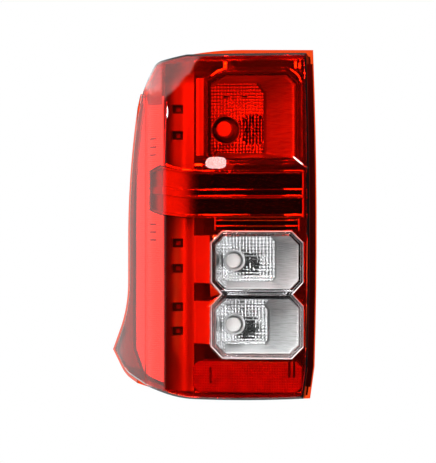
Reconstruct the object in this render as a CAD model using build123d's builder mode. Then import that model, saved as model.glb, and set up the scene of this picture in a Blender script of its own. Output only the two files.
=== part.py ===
"""Left rear combination lamp of a pickup, in millimetres.

X runs towards the tailgate, Y towards the front of the vehicle, Z up.  The origin is the middle of the two
bolt holes on the tailgate side.  Every face of the lamp that follows the lens is the same plan curve, set
back by a depth: a shallow face arc, a tight corner arc and a long side arc.
"""

import os
from math import asin, cos, degrees, hypot, radians, sin

from build123d import *

# Lens skin in plan
FACE_R = 800.0
FACE_APEX = (-40.0, -114.0)
CORNER_R = 36.0
SIDE_R = 1240.0
TURN_INNER = 4.7
TURN_CORNER = -9.6
TURN_SIDE = -62.0
TURN_END = -69.5

# Parting line of lens and housing in plan, and the back of the housing
PART_Y = -44.0
PART_BEND_X = -213.0
PART_SLOPE = 2.14
PLAN_IN_X = 25.0
PLAN_OUT_X = -285.0
BACK_Y = -14.0
BOX_OUT_X = -150.0
WING_IN_X = -166.0
WING_Y = -30.0
WING_DEPTH = 21.0

# Flange outline in the XZ plane, going round from the top corner at the tailgate
TOP_IN = (4.3, 215.0)
TOP_STRAIGHT = (-81.0, 216.0)
SHOULDER_IN = (-177.0, 204.0)
SHOULDER_OUT = (-190.3, 193.9)
SIDE_TOP = (-209.3, 161.5)
SIDE_LOW = (-230.2, -17.0)
WAIST = (-230.2, -70.0)
FLARE_LOW = (-244.3, -129.3)
TIP = (-259.3, -159.0)
HEEL_OUT = (-242.0, -179.6)
HEEL_IN = (-225.3, -191.0)
SILL_OUT = (-172.0, -208.1)
SILL_IN = (-135.0, -214.3)
BOTTOM_IN = (0.7, -212.0)
NOSE = (6.1, -173.0)
BULGE = (8.6, 10.0)

# Walls and lips
LENS_WALL = 3.0
LIP = 5.0
OVERHANG = 4.0
TAIL_OVERHANG = 1.5
TAIL_SEAT = (-10.0, 20.0, -198.0, 198.0)
FACE_TOP = 206.0
FLANGE_T = 3.0
RIM_BEVEL = 3.0
HOUSING_WALL = 2.5
BACK_BEVEL = 3.0
PANEL_T = 2.2
PANEL_GAP = 1.5
FIT = 0.3
HIGH = 230.0
DEEP = 320.0

# Clear window: left, right, low, high
WINDOW = (-116.0, -3.6, -160.2, -6.6)
WINDOW_CUT = 14.0
WAIST_Z = -82.6
WAIST_CUT = 12.6
WINDOW_STEPS = ((0.8, 0.0), (2.0, 1.6), (3.0, 3.2))
WINDOW_RISE = 3.0
UPPER_PANE = (-109.0, -10.0, -77.5, -11.5)
LOWER_PANE = (-109.0, -10.0, -155.5, -88.5)
PANE_CUT = 11.0
PANE_DIP = 1.4

# Depths behind the lens skin
COLLAR_SET = 14.0
PANEL_SET = 30.0
COLLAR_END = 34.0
BAR_LIP_SET = 9.0
BAR_FLOOR_SET = 15.0
GUIDE_SET = 7.0
GUIDE_T = 4.5
REFLEX_SET = 12.0
REFLEX_T = 3.5

# Bowls: mouth plane and back plane, walls and optics
MOUTH_Y = -86.0
BOWL_Y = -38.0
BOWL_PLATE = 3.0
BOWL_WALL = 2.0
STOP_SLOTS = ((-103.3, 159.0), (-80.1, 159.0))
STOP_SLOT = (6.5, 2.5)
BRIDGE_X = (-97.0, -23.0)
STOP_FRAME = 5.0
STOP_GAP = 1.2
STOP_MOUTH = (-118.8, -12.8, 79.4, 183.6)
STOP_MOUTH_CUT = ((7.0, 6.0), (3.0, 3.0), (12.0, 12.0), (20.0, 10.0))
STOP_BACK = (-123.2, -55.0, 87.0, 177.5)
STOP_BACK_CUT = ((7.0, 6.0), (3.0, 3.0), (10.0, 14.0), (9.0, 5.0))
REVERSE_MOUTH = (-112.6, -7.0, -79.0, -10.0)
REVERSE_BACK = (-109.5, -41.0, -71.0, -12.0)
SIGNAL_MOUTH = (-112.6, -7.0, -156.8, -87.6)
SIGNAL_BACK = (-111.0, -50.0, -148.5, -96.0)
TWIN_MOUTH_CUT = ((13.0, 13.0),) * 4
TWIN_BACK_CUT = ((6.0, 6.0),) * 4
PILLOW = 17.0
GROOVE_W = 3.2
GROOVE_D = 1.3

# Bulbs and their ports
STOP_PORT = (-104.0, 118.0)
REVERSE_PORT = (-93.0, -43.0)
SIGNAL_PORT = (-93.0, -121.5)
BULB_HOLE_R = 17.2
BULB_HOLE_SIDES = 16
PORT_R = 14.2
PORT_PAD_T = 2.0
SEAT_Y = BACK_Y + PORT_PAD_T
LUG_R = 17.0
LUG_T = 3.0
LUG_W = 7.0
LUG_TURN = 60.0
NECK_R = 13.5
NECK_L = 13.0
NECK_SIDES = 15
SEAL_R = 19.0
SEAL_T = 2.4
SEAL_SIDES = 16
FLANGE_R = SEAL_R + 1.0
PORT_PAD_R = FLANGE_R + 2.0
FLANGE_SIDES = 20
HOLDER_FLANGE_T = 3.0
GRIP_R = 14.5
GRIP_L = 12.0
GRIP_SIDES = 12
GRIP_WING = (40.0, 4.0)
SHROUD = (25.0, 16.0)
SHROUD_L = 16.0
SHROUD_WALL = 2.0
SHROUD_POCKET = 13.0
BLADE = (6.3, 0.8)
BLADE_PITCH = 9.0
BLADE_L = 10.0
BULB_R = 9.4
BULB_SIDES = 16
BULB_L = 36.0
BULB_DOME = 3.5
BULB_BASE = (15.0, 6.0)
BULB_BASE_L = 9.0

# Trough with its square pockets
TROUGH_IN_X = -139.0
TROUGH_IN_Y = -68.0
TROUGH_MID = (-160.0, -71.0)
TROUGH_OUT = (-172.5, -88.0)
POCKET_X = -160.0
POCKET_Z = (142.0, 110.0, -21.5, -52.5, -99.5, -129.0)
POCKET = (13.5, 11.0)
POCKET_WALL = 1.5
BOARD_Y = -60.0
BOARD_T = 1.6
BOARD_W = 24.0
BOARD_END = 13.0
CHIP = 5.0
CHIP_T = 1.2
STAKES = ((-160.0, 126.0), (-160.0, -37.0), (-160.0, -114.0))
STAKE = 3.0
STAKE_FOOT = 8.0
STAKE_STAND = 1.5

# Sloped blocks between the trough and the mouths: left, right, low, high
BLOCKS = ((-135.5, -127.0, 85.0, 179.0), (-139.0, -117.5, -70.0, -12.0), (-139.0, -117.5, -143.5, -91.5))
BLOCK_BACK_Y = -76.0
BLOCK_SLOPE = 0.93
BLOCK_CUT = (5.0, 6.0)

# Ribs on the front of the bezel: left, right, low, high
RIB_SET = 16.0
TOP_RIBS = ((-100.0, -97.0, 188.0, 200.0), (-14.6, -12.4, 188.0, 199.0), (-9.6, -7.4, 188.0, 197.0))
REFLEX_RAILS = ((-103.0, -100.0, -197.0, -168.0), (-60.0, -57.0, -197.0, -168.0))

# Centre bar, seen from behind: main band and the end that reaches round the corner
BAR_X = (-178.0, -3.5)
BAR_Z = (9.5, 66.5)
BAR_END_X = -192.0
BAR_END_Z = (18.5, 66.0)
BAR_ROOT_Z = (13.0, 72.5)
BAR_FLARE_X = -150.0
BAR_LIP = 3.0
BAR_RIDGE_Z = (33.5, 43.0)
BAR_SKIN = 3.0
BAR_BACK_Y = -62.0
BAR_GAP = 0.8

# Side strip
GUIDE_IN_X = -173.5
GUIDE_OUT_X = -213.5
GUIDE_Z = (-190.0, 156.0)
GUIDE_CUT = ((-198.5, -181.0), (-207.0, -164.0), (-213.5, -153.0))
TICK_Z = (105.0, 95.0, 85.5, 1.5, -8.0, -17.5)
TICK_X = (-191.5, -182.5)
TICK_H = 1.6
TICK_D = 0.9

# Reflex panel
REFLEX = (-138.0, -6.0, -201.0, -163.5)
REFLEX_CUT = 7.0
REFLEX_SLOTS = ((-116.0, -180.5), (-20.8, -173.0), (-15.3, -173.0))
REFLEX_SLOT = (2.6, 19.0)

# Fastening to the vehicle
BOLT_Z = 120.0
BOLT_R = 3.5
BUSH_R = 6.0
BUSH_STAND = 0.4
TAB_T = 4.0
TAB_HALF = 13.0
GUSSET_X = -20.0
GUSSET_T = 2.5
PIN_SPOTS = ((-189.0, 118.0), (-189.0, -112.0))
PIN_R = 4.0
PIN_L = 18.0
PIN_COLLAR_R = 7.0
PIN_COLLAR_T = 6.0
PIN_ROOT_R = 3.0
PIN_SIDES = 8
PIN_ROOT_L = 8.0

# Small fixings on the back
SCREWS = ((-44.0, 38.0), (-126.0, 38.0), (-62.0, 196.0), (-44.0, -182.0), (-125.0, -182.0))
SCREW_R = 1.6
SCREW_SIDES = 8
SCREW_L = 20.0
SCREW_HEAD_R = 4.0
SCREW_HEAD_T = 2.6
HEAD_SIDES = 6
BOSS = 8.0
POST = 7.0
STOP_POSTS = ((-114.0, 166.0), (-66.0, 158.0), (-66.0, 95.0))
TWIN_POSTS = ((-50.0, -20.0), (-50.0, -62.0), (-58.0, -105.0), (-58.0, -140.0))
GUIDE_POSTS = ((-192.0, 140.0), (-192.0, -60.0), (-192.0, -165.0))
VENTS = ((-122.0, 84.0), (-122.0, -84.0))
VENT_R = 4.0
VENT_SIDES = 12
VENT_L = 9.0
VENT_BORE_R = 2.4
CAP_WALL = 1.5
CAP_L = 11.0
GASKET = (-143.0, -25.0, -202.0, 190.0)
GASKET_W = 8.0
GASKET_T = 5.0
GASKET_CORNER = 12.0
RIB_T = 2.2
RIB_H = 3.5
RIB_Z = (158.0, 62.0, 10.0, -158.0)
RIB_X = (-128.0, -40.0)

os.makedirs("parts", exist_ok=True)


# Plan curves and outlines
def round_point(center, radius, turn):
    """Point at a radius, turned from straight rearward; positive turns go towards the tailgate."""
    angle = radians(turn)
    return (center[0] + radius * sin(angle), center[1] - radius * cos(angle))


FACE_C = (FACE_APEX[0], FACE_APEX[1] + FACE_R)
CORNER_C = round_point(FACE_C, FACE_R - CORNER_R, TURN_CORNER)
SIDE_C = round_point(CORNER_C, CORNER_R - SIDE_R, TURN_SIDE)


def skin(depth):
    """Lens skin set back by a depth: face arc, corner arc, side arc."""
    CenterArc(FACE_C, FACE_R - depth, TURN_INNER - 90, TURN_CORNER - TURN_INNER)
    CenterArc(CORNER_C, CORNER_R - depth, TURN_CORNER - 90, TURN_SIDE - TURN_CORNER)
    CenterArc(SIDE_C, SIDE_R - depth, TURN_SIDE - 90, TURN_END - TURN_SIDE)


def skin_ends(depth):
    """End points of the skin, tailgate side first."""
    inner = round_point(FACE_C, FACE_R - depth, TURN_INNER)
    outer = round_point(SIDE_C, SIDE_R - depth, TURN_END)
    return inner, outer


def parting(shift):
    """Corner points of the parting line moved forward by shift, tailgate side first."""
    outer_y = PART_Y + shift + (PART_BEND_X - PLAN_OUT_X) * PART_SLOPE
    return [(PLAN_IN_X, PART_Y + shift), (PART_BEND_X, PART_Y + shift), (PLAN_OUT_X, outer_y)]


def housing_back():
    """Corner points of the back of the housing, tailgate side first."""
    wing_bend = PART_BEND_X + (WING_DEPTH - (WING_Y - PART_Y)) / PART_SLOPE
    outer_y = WING_Y + (wing_bend - PLAN_OUT_X) * PART_SLOPE
    box = [(PLAN_IN_X, BACK_Y), (BOX_OUT_X, BACK_Y)]
    return box + [(WING_IN_X, WING_Y), (wing_bend, WING_Y), (PLAN_OUT_X, outer_y)]


def band(front, back):
    """Plan region between two set-backs of the skin."""
    front_in, front_out = skin_ends(front)
    back_in, back_out = skin_ends(back)
    with BuildLine() as line:
        skin(front)
        Line(front_out, back_out)
        skin(back)
        Line(back_in, front_in)
    make_face(line.edges())


def lens_plan(depth, shift):
    """Plan region from a set-back of the skin to the parting line."""
    inner, outer = skin_ends(depth)
    with BuildLine() as line:
        skin(depth)
        Polyline(outer, *reversed(parting(shift)), inner)
    make_face(line.edges())


def strip_plan(front, back):
    """Plan region between two shifts of the parting line."""
    with BuildLine() as line:
        Polyline(*parting(front), *reversed(parting(back)), close=True)
    make_face(line.edges())


def housing_plan(front, wall):
    """Plan region from a shift of the parting line to the back of the housing, drawn in by the wall."""
    with BuildLine() as line:
        Polyline(*parting(front), *reversed(housing_back()), close=True)
    make_face(line.edges())
    if wall:
        offset(amount=-wall, kind=Kind.INTERSECTION, mode=Mode.REPLACE)


def outline(inset):
    """Flange outline in the XZ plane; drawn in by an inset it also stops below the overhanging top lip."""
    with BuildLine() as line:
        top = Line(TOP_IN, TOP_STRAIGHT)
        brow = TangentArc(TOP_STRAIGHT, SHOULDER_IN, tangent=top % 1)
        TangentArc(SHOULDER_IN, SHOULDER_OUT, tangent=brow % 1)
        Line(SHOULDER_OUT, SIDE_TOP)
        TangentArc(SIDE_LOW, SIDE_TOP, tangent=(0, 1))
        waist = Line(SIDE_LOW, WAIST)
        TangentArc(WAIST, FLARE_LOW, tangent=waist % 1)
        Line(FLARE_LOW, TIP)
        heel = Line(TIP, HEEL_OUT)
        TangentArc(HEEL_OUT, HEEL_IN, tangent=heel % 1)
        sill = Line(HEEL_IN, SILL_OUT)
        turn = TangentArc(SILL_OUT, SILL_IN, tangent=sill % 1)
        TangentArc(SILL_IN, BOTTOM_IN, tangent=turn % 1)
        Line(BOTTOM_IN, NOSE)
        ThreePointArc(NOSE, BULGE, TOP_IN)
    make_face(line.edges())
    if inset:
        offset(amount=-inset, kind=Kind.TANGENT, mode=Mode.REPLACE)
        box_face((PLAN_OUT_X, PLAN_IN_X, -HIGH, FACE_TOP + LIP - inset), mode=Mode.INTERSECT)


def tail_seat():
    """Wider part of the housing's weld seat, on the tailgate side."""
    outline(TAIL_OVERHANG)
    box_face(TAIL_SEAT, mode=Mode.INTERSECT)


def octagon(box, cuts):
    """Corners of a rectangle with its corners cut, from low left anticlockwise: (dx, dz) per corner."""
    left, right, low, high = box
    (ax, az), (bx, bz), (cx, cz), (dx, dz) = cuts
    corners = [(left, low + az), (left + ax, low), (right - bx, low), (right, low + bz)]
    return corners + [(right, high - cz), (right - cx, high), (left + dx, high), (left, high - dz)]


def polygon_face(points, mode=Mode.ADD):
    """Face with straight sides."""
    with BuildLine() as line:
        Polyline(*points, close=True)
    make_face(line.edges(), mode=mode)


def eight(inset):
    """Clear window outline: a cut-cornered upright box with a notch on each side."""
    left, right, low, high = WINDOW
    upper = WAIST_Z + WINDOW_CUT
    lower = WAIST_Z - WINDOW_CUT
    right_side = [(right, low + WINDOW_CUT), (right, lower), (right - WAIST_CUT, WAIST_Z), (right, upper)]
    left_side = [(left, high - WINDOW_CUT), (left, upper), (left + WAIST_CUT, WAIST_Z), (left, lower)]
    top = [(right, high - WINDOW_CUT), (right - WINDOW_CUT, high), (left + WINDOW_CUT, high)]
    bottom = [(left, low + WINDOW_CUT), (left + WINDOW_CUT, low), (right - WINDOW_CUT, low)]
    polygon_face(right_side + top + left_side + bottom)
    if inset:
        offset(amount=-inset, kind=Kind.INTERSECTION, mode=Mode.REPLACE)


def box_face(box, mode=Mode.ADD):
    """Upright rectangle from left, right, low, high."""
    left, right, low, high = box
    with Locations(((left + right) / 2, (low + high) / 2)):
        Rectangle(right - left, high - low, mode=mode)


def facing(y):
    """Sketch plane square to Y; extruding by a plus amount goes rearward, towards the viewer."""
    return Plane.XZ.offset(-y)


def carve(draw_plan, draw_face):
    """Solid that has one outline seen from above and another seen from behind."""
    with BuildPart() as form:
        with BuildSketch(Plane.XY.offset(-HIGH)):
            draw_plan()
        extrude(amount=2 * HIGH)
        with BuildSketch(Plane.XZ):
            draw_face()
        extrude(amount=DEEP, both=True, mode=Mode.INTERSECT)
    return form.part


def stand(depth, draw_face, y):
    """Posts that run along Y from a set-back of the skin to a flat end at y."""
    with BuildPart() as posts:
        add(carve(lambda: lens_plan(depth, HIGH), draw_face))
        split(bisect_by=facing(y), keep=Keep.TOP)
    return posts.part


def trough_arc(shift):
    """Line of the trough in plan, tailgate side first, moved back by a shift."""
    mid_x, mid_y = TROUGH_MID
    out_x, out_y = TROUGH_OUT
    ThreePointArc((TROUGH_IN_X, TROUGH_IN_Y + shift), (mid_x, mid_y + shift), (out_x - shift, out_y))


def shelf_arc(radius, end_x):
    """Shallow arc of the bezel panel in plan, from the tailgate side to an end."""
    turn_in = degrees(asin((PLAN_IN_X - FACE_C[0]) / radius))
    turn_out = degrees(asin((end_x - FACE_C[0]) / radius))
    return CenterArc(FACE_C, radius, turn_in - 90, turn_out - turn_in)


def panel_plan():
    """Bezel panel in plan: shallow arc, step back and trough, with the panel's thickness behind."""
    root = (TROUGH_IN_X, TROUGH_IN_Y + PANEL_T)
    heel = (TROUGH_IN_X + PANEL_T, TROUGH_IN_Y + PANEL_T)
    with BuildLine() as line:
        front = shelf_arc(FACE_R - PANEL_SET, TROUGH_IN_X)
        back = shelf_arc(FACE_R - PANEL_SET - PANEL_T, TROUGH_IN_X + PANEL_T)
        trough_arc(0)
        trough_arc(PANEL_T)
        Line(front @ 1, (TROUGH_IN_X, TROUGH_IN_Y))
        Line(TROUGH_OUT, (TROUGH_OUT[0] - PANEL_T, TROUGH_OUT[1]))
        Polyline(root, heel, back @ 1)
        Line(back @ 0, front @ 0)
    make_face(line.edges())


def trough_back():
    """Plan region from the trough to the front of the strip board."""
    with BuildLine() as line:
        trough_arc(0)
        Polyline(TROUGH_OUT, (TROUGH_OUT[0], BOARD_Y), (TROUGH_IN_X, BOARD_Y), (TROUGH_IN_X, TROUGH_IN_Y))
    make_face(line.edges())


def bar_face(grow):
    """Centre bar seen from behind, with its flared end, grown by a clearance."""
    tip_low, tip_high = BAR_END_Z
    root_low, root_high = BAR_ROOT_Z
    low, high = BAR_Z
    lower = [(BAR_END_X, tip_low), (BAR_X[0], root_low), (BAR_FLARE_X, low), (BAR_X[1], low)]
    upper = [(BAR_X[1], high), (BAR_FLARE_X, high), (BAR_X[0], root_high), (BAR_END_X, tip_high)]
    polygon_face(lower + upper)
    if grow:
        offset(amount=grow, kind=Kind.INTERSECTION, mode=Mode.REPLACE)


def guide_face(points):
    """Side strip seen from behind: a straight-sided shape kept inside the lens."""
    outline(LIP + LENS_WALL + PANEL_GAP)
    polygon_face(points, mode=Mode.INTERSECT)


def wedge_block(left, right, low, high):
    """Sloped block from the trough up to a mouth, with its lower outer corner cut away."""
    root = right + PANEL_T
    front = BLOCK_BACK_Y - (right - left) * BLOCK_SLOPE
    slope = [(left, BLOCK_BACK_Y), (right, front), (root, front), (root, BLOCK_BACK_Y)]
    foot = [(left, low + BLOCK_CUT[1]), (left + BLOCK_CUT[0], low), (root, low)]
    face = foot + [(root, high), (left, high)]
    return carve(lambda: polygon_face(slope), lambda: polygon_face(face))


def ring_face(points, inner, outer):
    """Frame between a polygon grown by inner and the same polygon grown by outer."""
    polygon_face(points)
    if outer:
        offset(amount=outer, kind=Kind.INTERSECTION, mode=Mode.REPLACE)
    offset(amount=inner - outer, kind=Kind.INTERSECTION, mode=Mode.SUBTRACT)


def eight_ring(wall):
    """Frame just inside the clear window's outline."""
    eight(0)
    offset(amount=-wall, kind=Kind.INTERSECTION, mode=Mode.SUBTRACT)


def spots_face(spots, radius):
    """Discs at a list of places."""
    with Locations(*spots):
        Circle(radius)


def flats_face(spots, radius, sides):
    """Shapes with equal flat sides at a list of places."""
    with Locations(*spots):
        RegularPolygon(radius, sides)


def squares_face(spots, size):
    """Squares at a list of places."""
    with Locations(*spots):
        Rectangle(size, size)


def boxes_face(boxes):
    """Upright rectangles."""
    for box in boxes:
        box_face(box)


def drawn_in(points, inset):
    """Corners of an anticlockwise polygon whose sides are all moved inward by an inset."""
    corners = []
    for i, here in enumerate(points):
        before = points[i - 1]
        after = points[(i + 1) % len(points)]
        ux, uz = here[0] - before[0], here[1] - before[1]
        vx, vz = after[0] - here[0], after[1] - here[1]
        u_length, v_length = hypot(ux, uz), hypot(vx, vz)
        ux, uz, vx, vz = ux / u_length, uz / u_length, vx / v_length, vz / v_length
        reach = inset / (1 + ux * vx + uz * vz)
        corners.append((here[0] - (uz + vz) * reach, here[1] + (ux + vx) * reach))
    return corners


def taper(mouth, back, depth, inset):
    """Flat-sided taper from the mouth plane to a back plane, drawn in by an inset."""
    front = [(x, MOUTH_Y, z) for x, z in drawn_in(mouth, inset)]
    rear = [(x, depth, z) for x, z in drawn_in(back, inset)]
    count = len(front)
    sides = []
    for i in range(count):
        j = (i + 1) % count
        sides.append((front[i], front[j], rear[j]))
        sides.append((front[i], rear[j], rear[i]))
    faces = [Face(Wire.make_polygon(points)) for points in (front, rear, *sides)]
    return Solid(Shell(faces))


def pillow_grooves(box):
    """Crossed V grooves that part the front of a bowl's back plate into square pillows."""
    left, right, low, high = box
    columns = int((right - left) / PILLOW)
    rows = int((high - low) / PILLOW)
    half = GROOVE_W / 2
    vee = [(-half, -GROOVE_D / 10), (half, -GROOVE_D / 10), (0, GROOVE_D)]
    foot = Plane(((left + right) / 2, BOWL_Y, low), x_dir=(1, 0, 0), z_dir=(0, 0, 1))
    flank = Plane((left, BOWL_Y, (low + high) / 2), x_dir=(0, 0, -1), z_dir=(1, 0, 0))
    with BuildPart() as grooves:
        with BuildSketch(foot):
            with GridLocations(PILLOW, PILLOW, columns + 1, 1):
                Polygon(*vee, align=None)
        extrude(amount=high - low)
        with BuildSketch(flank):
            with GridLocations(PILLOW, PILLOW, rows + 1, 1):
                Polygon(*vee, align=None)
        extrude(amount=right - left)
    return grooves.part


def bowl(mouth, back, box, port):
    """Reflector bowl: a hollow taper closed by a thick back plate with pillows and a bulb hole."""
    with BuildPart() as shape:
        add(taper(mouth, back, BOWL_Y + BOWL_PLATE, 0))
        add(taper(mouth, back, BOWL_Y, BOWL_WALL), mode=Mode.SUBTRACT)
        add(pillow_grooves(box), mode=Mode.SUBTRACT)
        with BuildSketch(facing(BOWL_Y)):
            flats_face([port], BULB_HOLE_R, BULB_HOLE_SIDES)
        extrude(amount=BOWL_PLATE * 2, both=True, mode=Mode.SUBTRACT)
    return shape.part


def block(spot, y, size, amount, mode=Mode.ADD):
    """Upright box: a rectangle at a depth y, carried forward along Y by an amount."""
    with BuildSketch(facing(y)) as face:
        with Locations(spot):
            Rectangle(*size)
    extrude(face.sketch, amount=-amount, mode=mode)


def twist_lock(port):
    """Bulb holder: neck with three lugs, flange, finger grip and connector shroud."""
    neck_y = SEAT_Y - NECK_L
    flange_y = SEAT_Y + SEAL_T
    grip_y = flange_y + HOLDER_FLANGE_T
    shroud_y = grip_y + GRIP_L
    with BuildSketch(facing(flange_y)) as neck:
        flats_face([port], NECK_R, NECK_SIDES)
    extrude(neck.sketch, amount=flange_y - neck_y)
    with BuildSketch(facing(flange_y)) as flange:
        flats_face([port], FLANGE_R, FLANGE_SIDES)
    extrude(flange.sketch, amount=-HOLDER_FLANGE_T)
    with BuildSketch(facing(grip_y)) as grip:
        flats_face([port], GRIP_R, GRIP_SIDES)
    extrude(grip.sketch, amount=-GRIP_L)
    with BuildSketch(facing(BACK_Y - HOUSING_WALL - FIT)) as lugs:
        with Locations(port):
            with PolarLocations((LUG_R + NECK_R) / 2 - LUG_W / 4, 3, start_angle=LUG_TURN):
                Rectangle(LUG_R - NECK_R + LUG_W / 2, LUG_W)
    extrude(lugs.sketch, amount=LUG_T)
    block(port, grip_y, GRIP_WING, GRIP_L)
    block(port, shroud_y, SHROUD, SHROUD_L)
    inside = (SHROUD[0] - 2 * SHROUD_WALL, SHROUD[1] - 2 * SHROUD_WALL)
    block(port, shroud_y + SHROUD_L - SHROUD_POCKET, inside, SHROUD_POCKET, Mode.SUBTRACT)
    socket = (BULB_BASE[0] + 2 * FIT, BULB_BASE[1] + 2 * FIT)
    block(port, neck_y, socket, BULB_BASE_L + FIT, Mode.SUBTRACT)


def wedge_bulb(port):
    """Wedge-base bulb: round glass with a bevelled tip, and a flat base that sits in the holder."""
    foot = SEAT_Y - NECK_L - FIT
    with BuildPart() as bulb:
        with BuildSketch(facing(foot)):
            flats_face([port], BULB_R, BULB_SIDES)
        extrude(amount=BULB_L)
        tip = bulb.faces().sort_by(Axis.Y)[0]
        chamfer(tip.edges(), BULB_DOME)
        block(port, foot, BULB_BASE, BULB_BASE_L)
    return bulb.part


# Lens: wraparound skin, skirt and overhanging weld flange, with the window's hole
lens_body = carve(lambda: lens_plan(0, 0), lambda: outline(LIP))
lens_void = carve(lambda: lens_plan(LENS_WALL, HIGH), lambda: outline(LIP + LENS_WALL))
lens_flange = carve(lambda: strip_plan(-FLANGE_T, 0), lambda: outline(0))
window_hole = carve(lambda: band(-PANEL_SET, PANEL_SET), lambda: eight(0))

with BuildPart() as outer_lens:
    add(lens_body)
    skin_faces = outer_lens.faces().filter_by(
        lambda face: face.geom_type == GeomType.CYLINDER and abs(face.normal_at().Z) < 0.01
    )
    skin_faces = skin_faces.filter_by(lambda face: face.normal_at().Y < 0)
    chamfer(skin_faces.edges().filter_by(Axis.Z, reverse=True), RIM_BEVEL)
    add(lens_void, mode=Mode.SUBTRACT)
    add(lens_flange)
    add(lens_void, mode=Mode.SUBTRACT)
    add(window_hole, mode=Mode.SUBTRACT)
outer_lens.part.label = "outer_lens"
export_step(outer_lens.part, "parts/outer_lens.step")

# Clear window: slug with a stepped rim and two sunk panes
window_steps = [carve(lambda: band(-rise, LENS_WALL), lambda: eight(inset)) for rise, inset in WINDOW_STEPS]
panes = [octagon(box, ((PANE_CUT, PANE_CUT),) * 4) for box in (UPPER_PANE, LOWER_PANE)]
pane_dips = [
    carve(lambda: band(-WINDOW_RISE - PANE_DIP, PANE_DIP - WINDOW_RISE), lambda: polygon_face(pane))
    for pane in panes
]
with BuildPart() as clear_window:
    add(window_steps)
    add(pane_dips, mode=Mode.SUBTRACT)
clear_window.part.label = "clear_window"
export_step(clear_window.part, "parts/clear_window.step")

# Rear housing: tub behind the parting line, with ports, posts, tabs and small bosses
housing_body = carve(lambda: housing_plan(0, 0), lambda: outline(LIP))
housing_void = carve(lambda: housing_plan(-HIGH / 8, HOUSING_WALL), lambda: outline(LIP + LENS_WALL))
housing_flange = carve(lambda: strip_plan(0, FLANGE_T), lambda: outline(OVERHANG))
housing_tail = carve(lambda: strip_plan(0, FLANGE_T), tail_seat)
ports = (STOP_PORT, REVERSE_PORT, SIGNAL_PORT)
inner_wall_y = BACK_Y - HOUSING_WALL
guide_back = GUIDE_SET + GUIDE_T
guide_posts = stand(guide_back, lambda: squares_face(GUIDE_POSTS, POST), WING_Y - HOUSING_WALL / 2)

with BuildPart() as rear_housing:
    add(housing_body)
    back_face = rear_housing.faces().filter_by_position(Axis.Y, BACK_Y - FIT, BACK_Y + FIT)
    chamfer(back_face.edges().filter_by(Axis.Z, reverse=True), BACK_BEVEL)
    add([housing_flange, housing_tail])
    add(housing_void, mode=Mode.SUBTRACT)
    add(guide_posts)
    with BuildSketch(facing(SEAT_Y)):
        flats_face(ports, PORT_PAD_R, FLANGE_SIDES)
    extrude(amount=PORT_PAD_T)
    with BuildSketch(facing(BOWL_Y + BOWL_PLATE)):
        squares_face(STOP_POSTS + TWIN_POSTS, POST)
    extrude(amount=BOWL_Y + BOWL_PLATE - inner_wall_y - FIT)
    with BuildSketch(facing(WING_Y - HOUSING_WALL + FIT)):
        flats_face(PIN_SPOTS, PIN_COLLAR_R, PIN_SIDES)
    extrude(amount=PIN_ROOT_L)
    with BuildSketch(facing(BACK_Y + VENT_L)):
        flats_face(VENTS, VENT_R, VENT_SIDES)
    extrude(amount=VENT_L)
    with BuildSketch(facing(BACK_Y + RIB_H)):
        boxes_face([(*RIB_X, z - RIB_T / 2, z + RIB_T / 2) for z in RIB_Z])
    extrude(amount=RIB_H)
    for tab_z in (-BOLT_Z, BOLT_Z):
        with BuildSketch(Plane.YZ):
            with Locations((BACK_Y / 2, tab_z)):
                Rectangle(-BACK_Y + HOUSING_WALL, 2 * TAB_HALF)
            with Locations((0, tab_z)):
                Circle(TAB_HALF)
        extrude(amount=-TAB_T)
        for gusset_z in (tab_z - TAB_HALF + GUSSET_T, tab_z + TAB_HALF):
            with BuildSketch(Plane.XY.offset(gusset_z - GUSSET_T)):
                polygon_face([(-TAB_T, BACK_Y), (-TAB_T, 0), (GUSSET_X, BACK_Y)])
            extrude(amount=GUSSET_T)
        with BuildSketch(Plane.YZ):
            with Locations((0, tab_z)):
                Circle(BUSH_R)
        extrude(amount=TAB_T, both=True, mode=Mode.SUBTRACT)
    with BuildSketch(facing(SEAT_Y)):
        with Locations(*ports):
            Circle(PORT_R)
            with PolarLocations((LUG_R + PORT_R) / 2 - LUG_W / 4, 3, start_angle=LUG_TURN / 2):
                Rectangle(LUG_R - PORT_R + LUG_W / 2 + 4 * FIT, LUG_W + 4 * FIT)
    extrude(amount=PORT_PAD_T + 2 * HOUSING_WALL, mode=Mode.SUBTRACT)
    with BuildSketch(facing(BACK_Y + VENT_L)):
        flats_face(VENTS, VENT_BORE_R, SCREW_SIDES)
    extrude(amount=VENT_L + 2 * HOUSING_WALL, mode=Mode.SUBTRACT)
    with BuildSketch(facing(BACK_Y)):
        flats_face(SCREWS, SCREW_R + FIT, SCREW_SIDES)
    extrude(amount=2 * HOUSING_WALL, mode=Mode.SUBTRACT)
    with BuildSketch(facing(WING_Y)):
        flats_face(PIN_SPOTS, PIN_ROOT_R, PIN_SIDES)
    extrude(amount=PIN_ROOT_L, mode=Mode.SUBTRACT)
rear_housing.part.label = "rear_housing"
export_step(rear_housing.part, "parts/rear_housing.step")

# Inner bezel: panel, mouth collars, sloped blocks, pockets, screw bosses and ribs
stop_mouth = octagon(STOP_MOUTH, STOP_MOUTH_CUT)
bezel_panel = carve(panel_plan, lambda: outline(LIP + LENS_WALL + PANEL_GAP))
stop_collar = carve(
    lambda: band(COLLAR_SET, COLLAR_END),
    lambda: ring_face(stop_mouth, STOP_GAP, STOP_GAP + STOP_FRAME),
)
twin_collar = carve(lambda: band(COLLAR_SET, COLLAR_END), lambda: eight_ring(PANEL_T))
bezel_bosses = stand(PANEL_SET + PANEL_T / 2, lambda: squares_face(SCREWS, BOSS), inner_wall_y)
pocket_frames = carve(
    trough_back,
    lambda: boxes_face([
        (POCKET_X - POCKET[0] / 2 - POCKET_WALL, POCKET_X + POCKET[0] / 2 + POCKET_WALL,
         z - POCKET[1] / 2 - POCKET_WALL, z + POCKET[1] / 2 + POCKET_WALL)
        for z in POCKET_Z
    ]),
)
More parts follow.
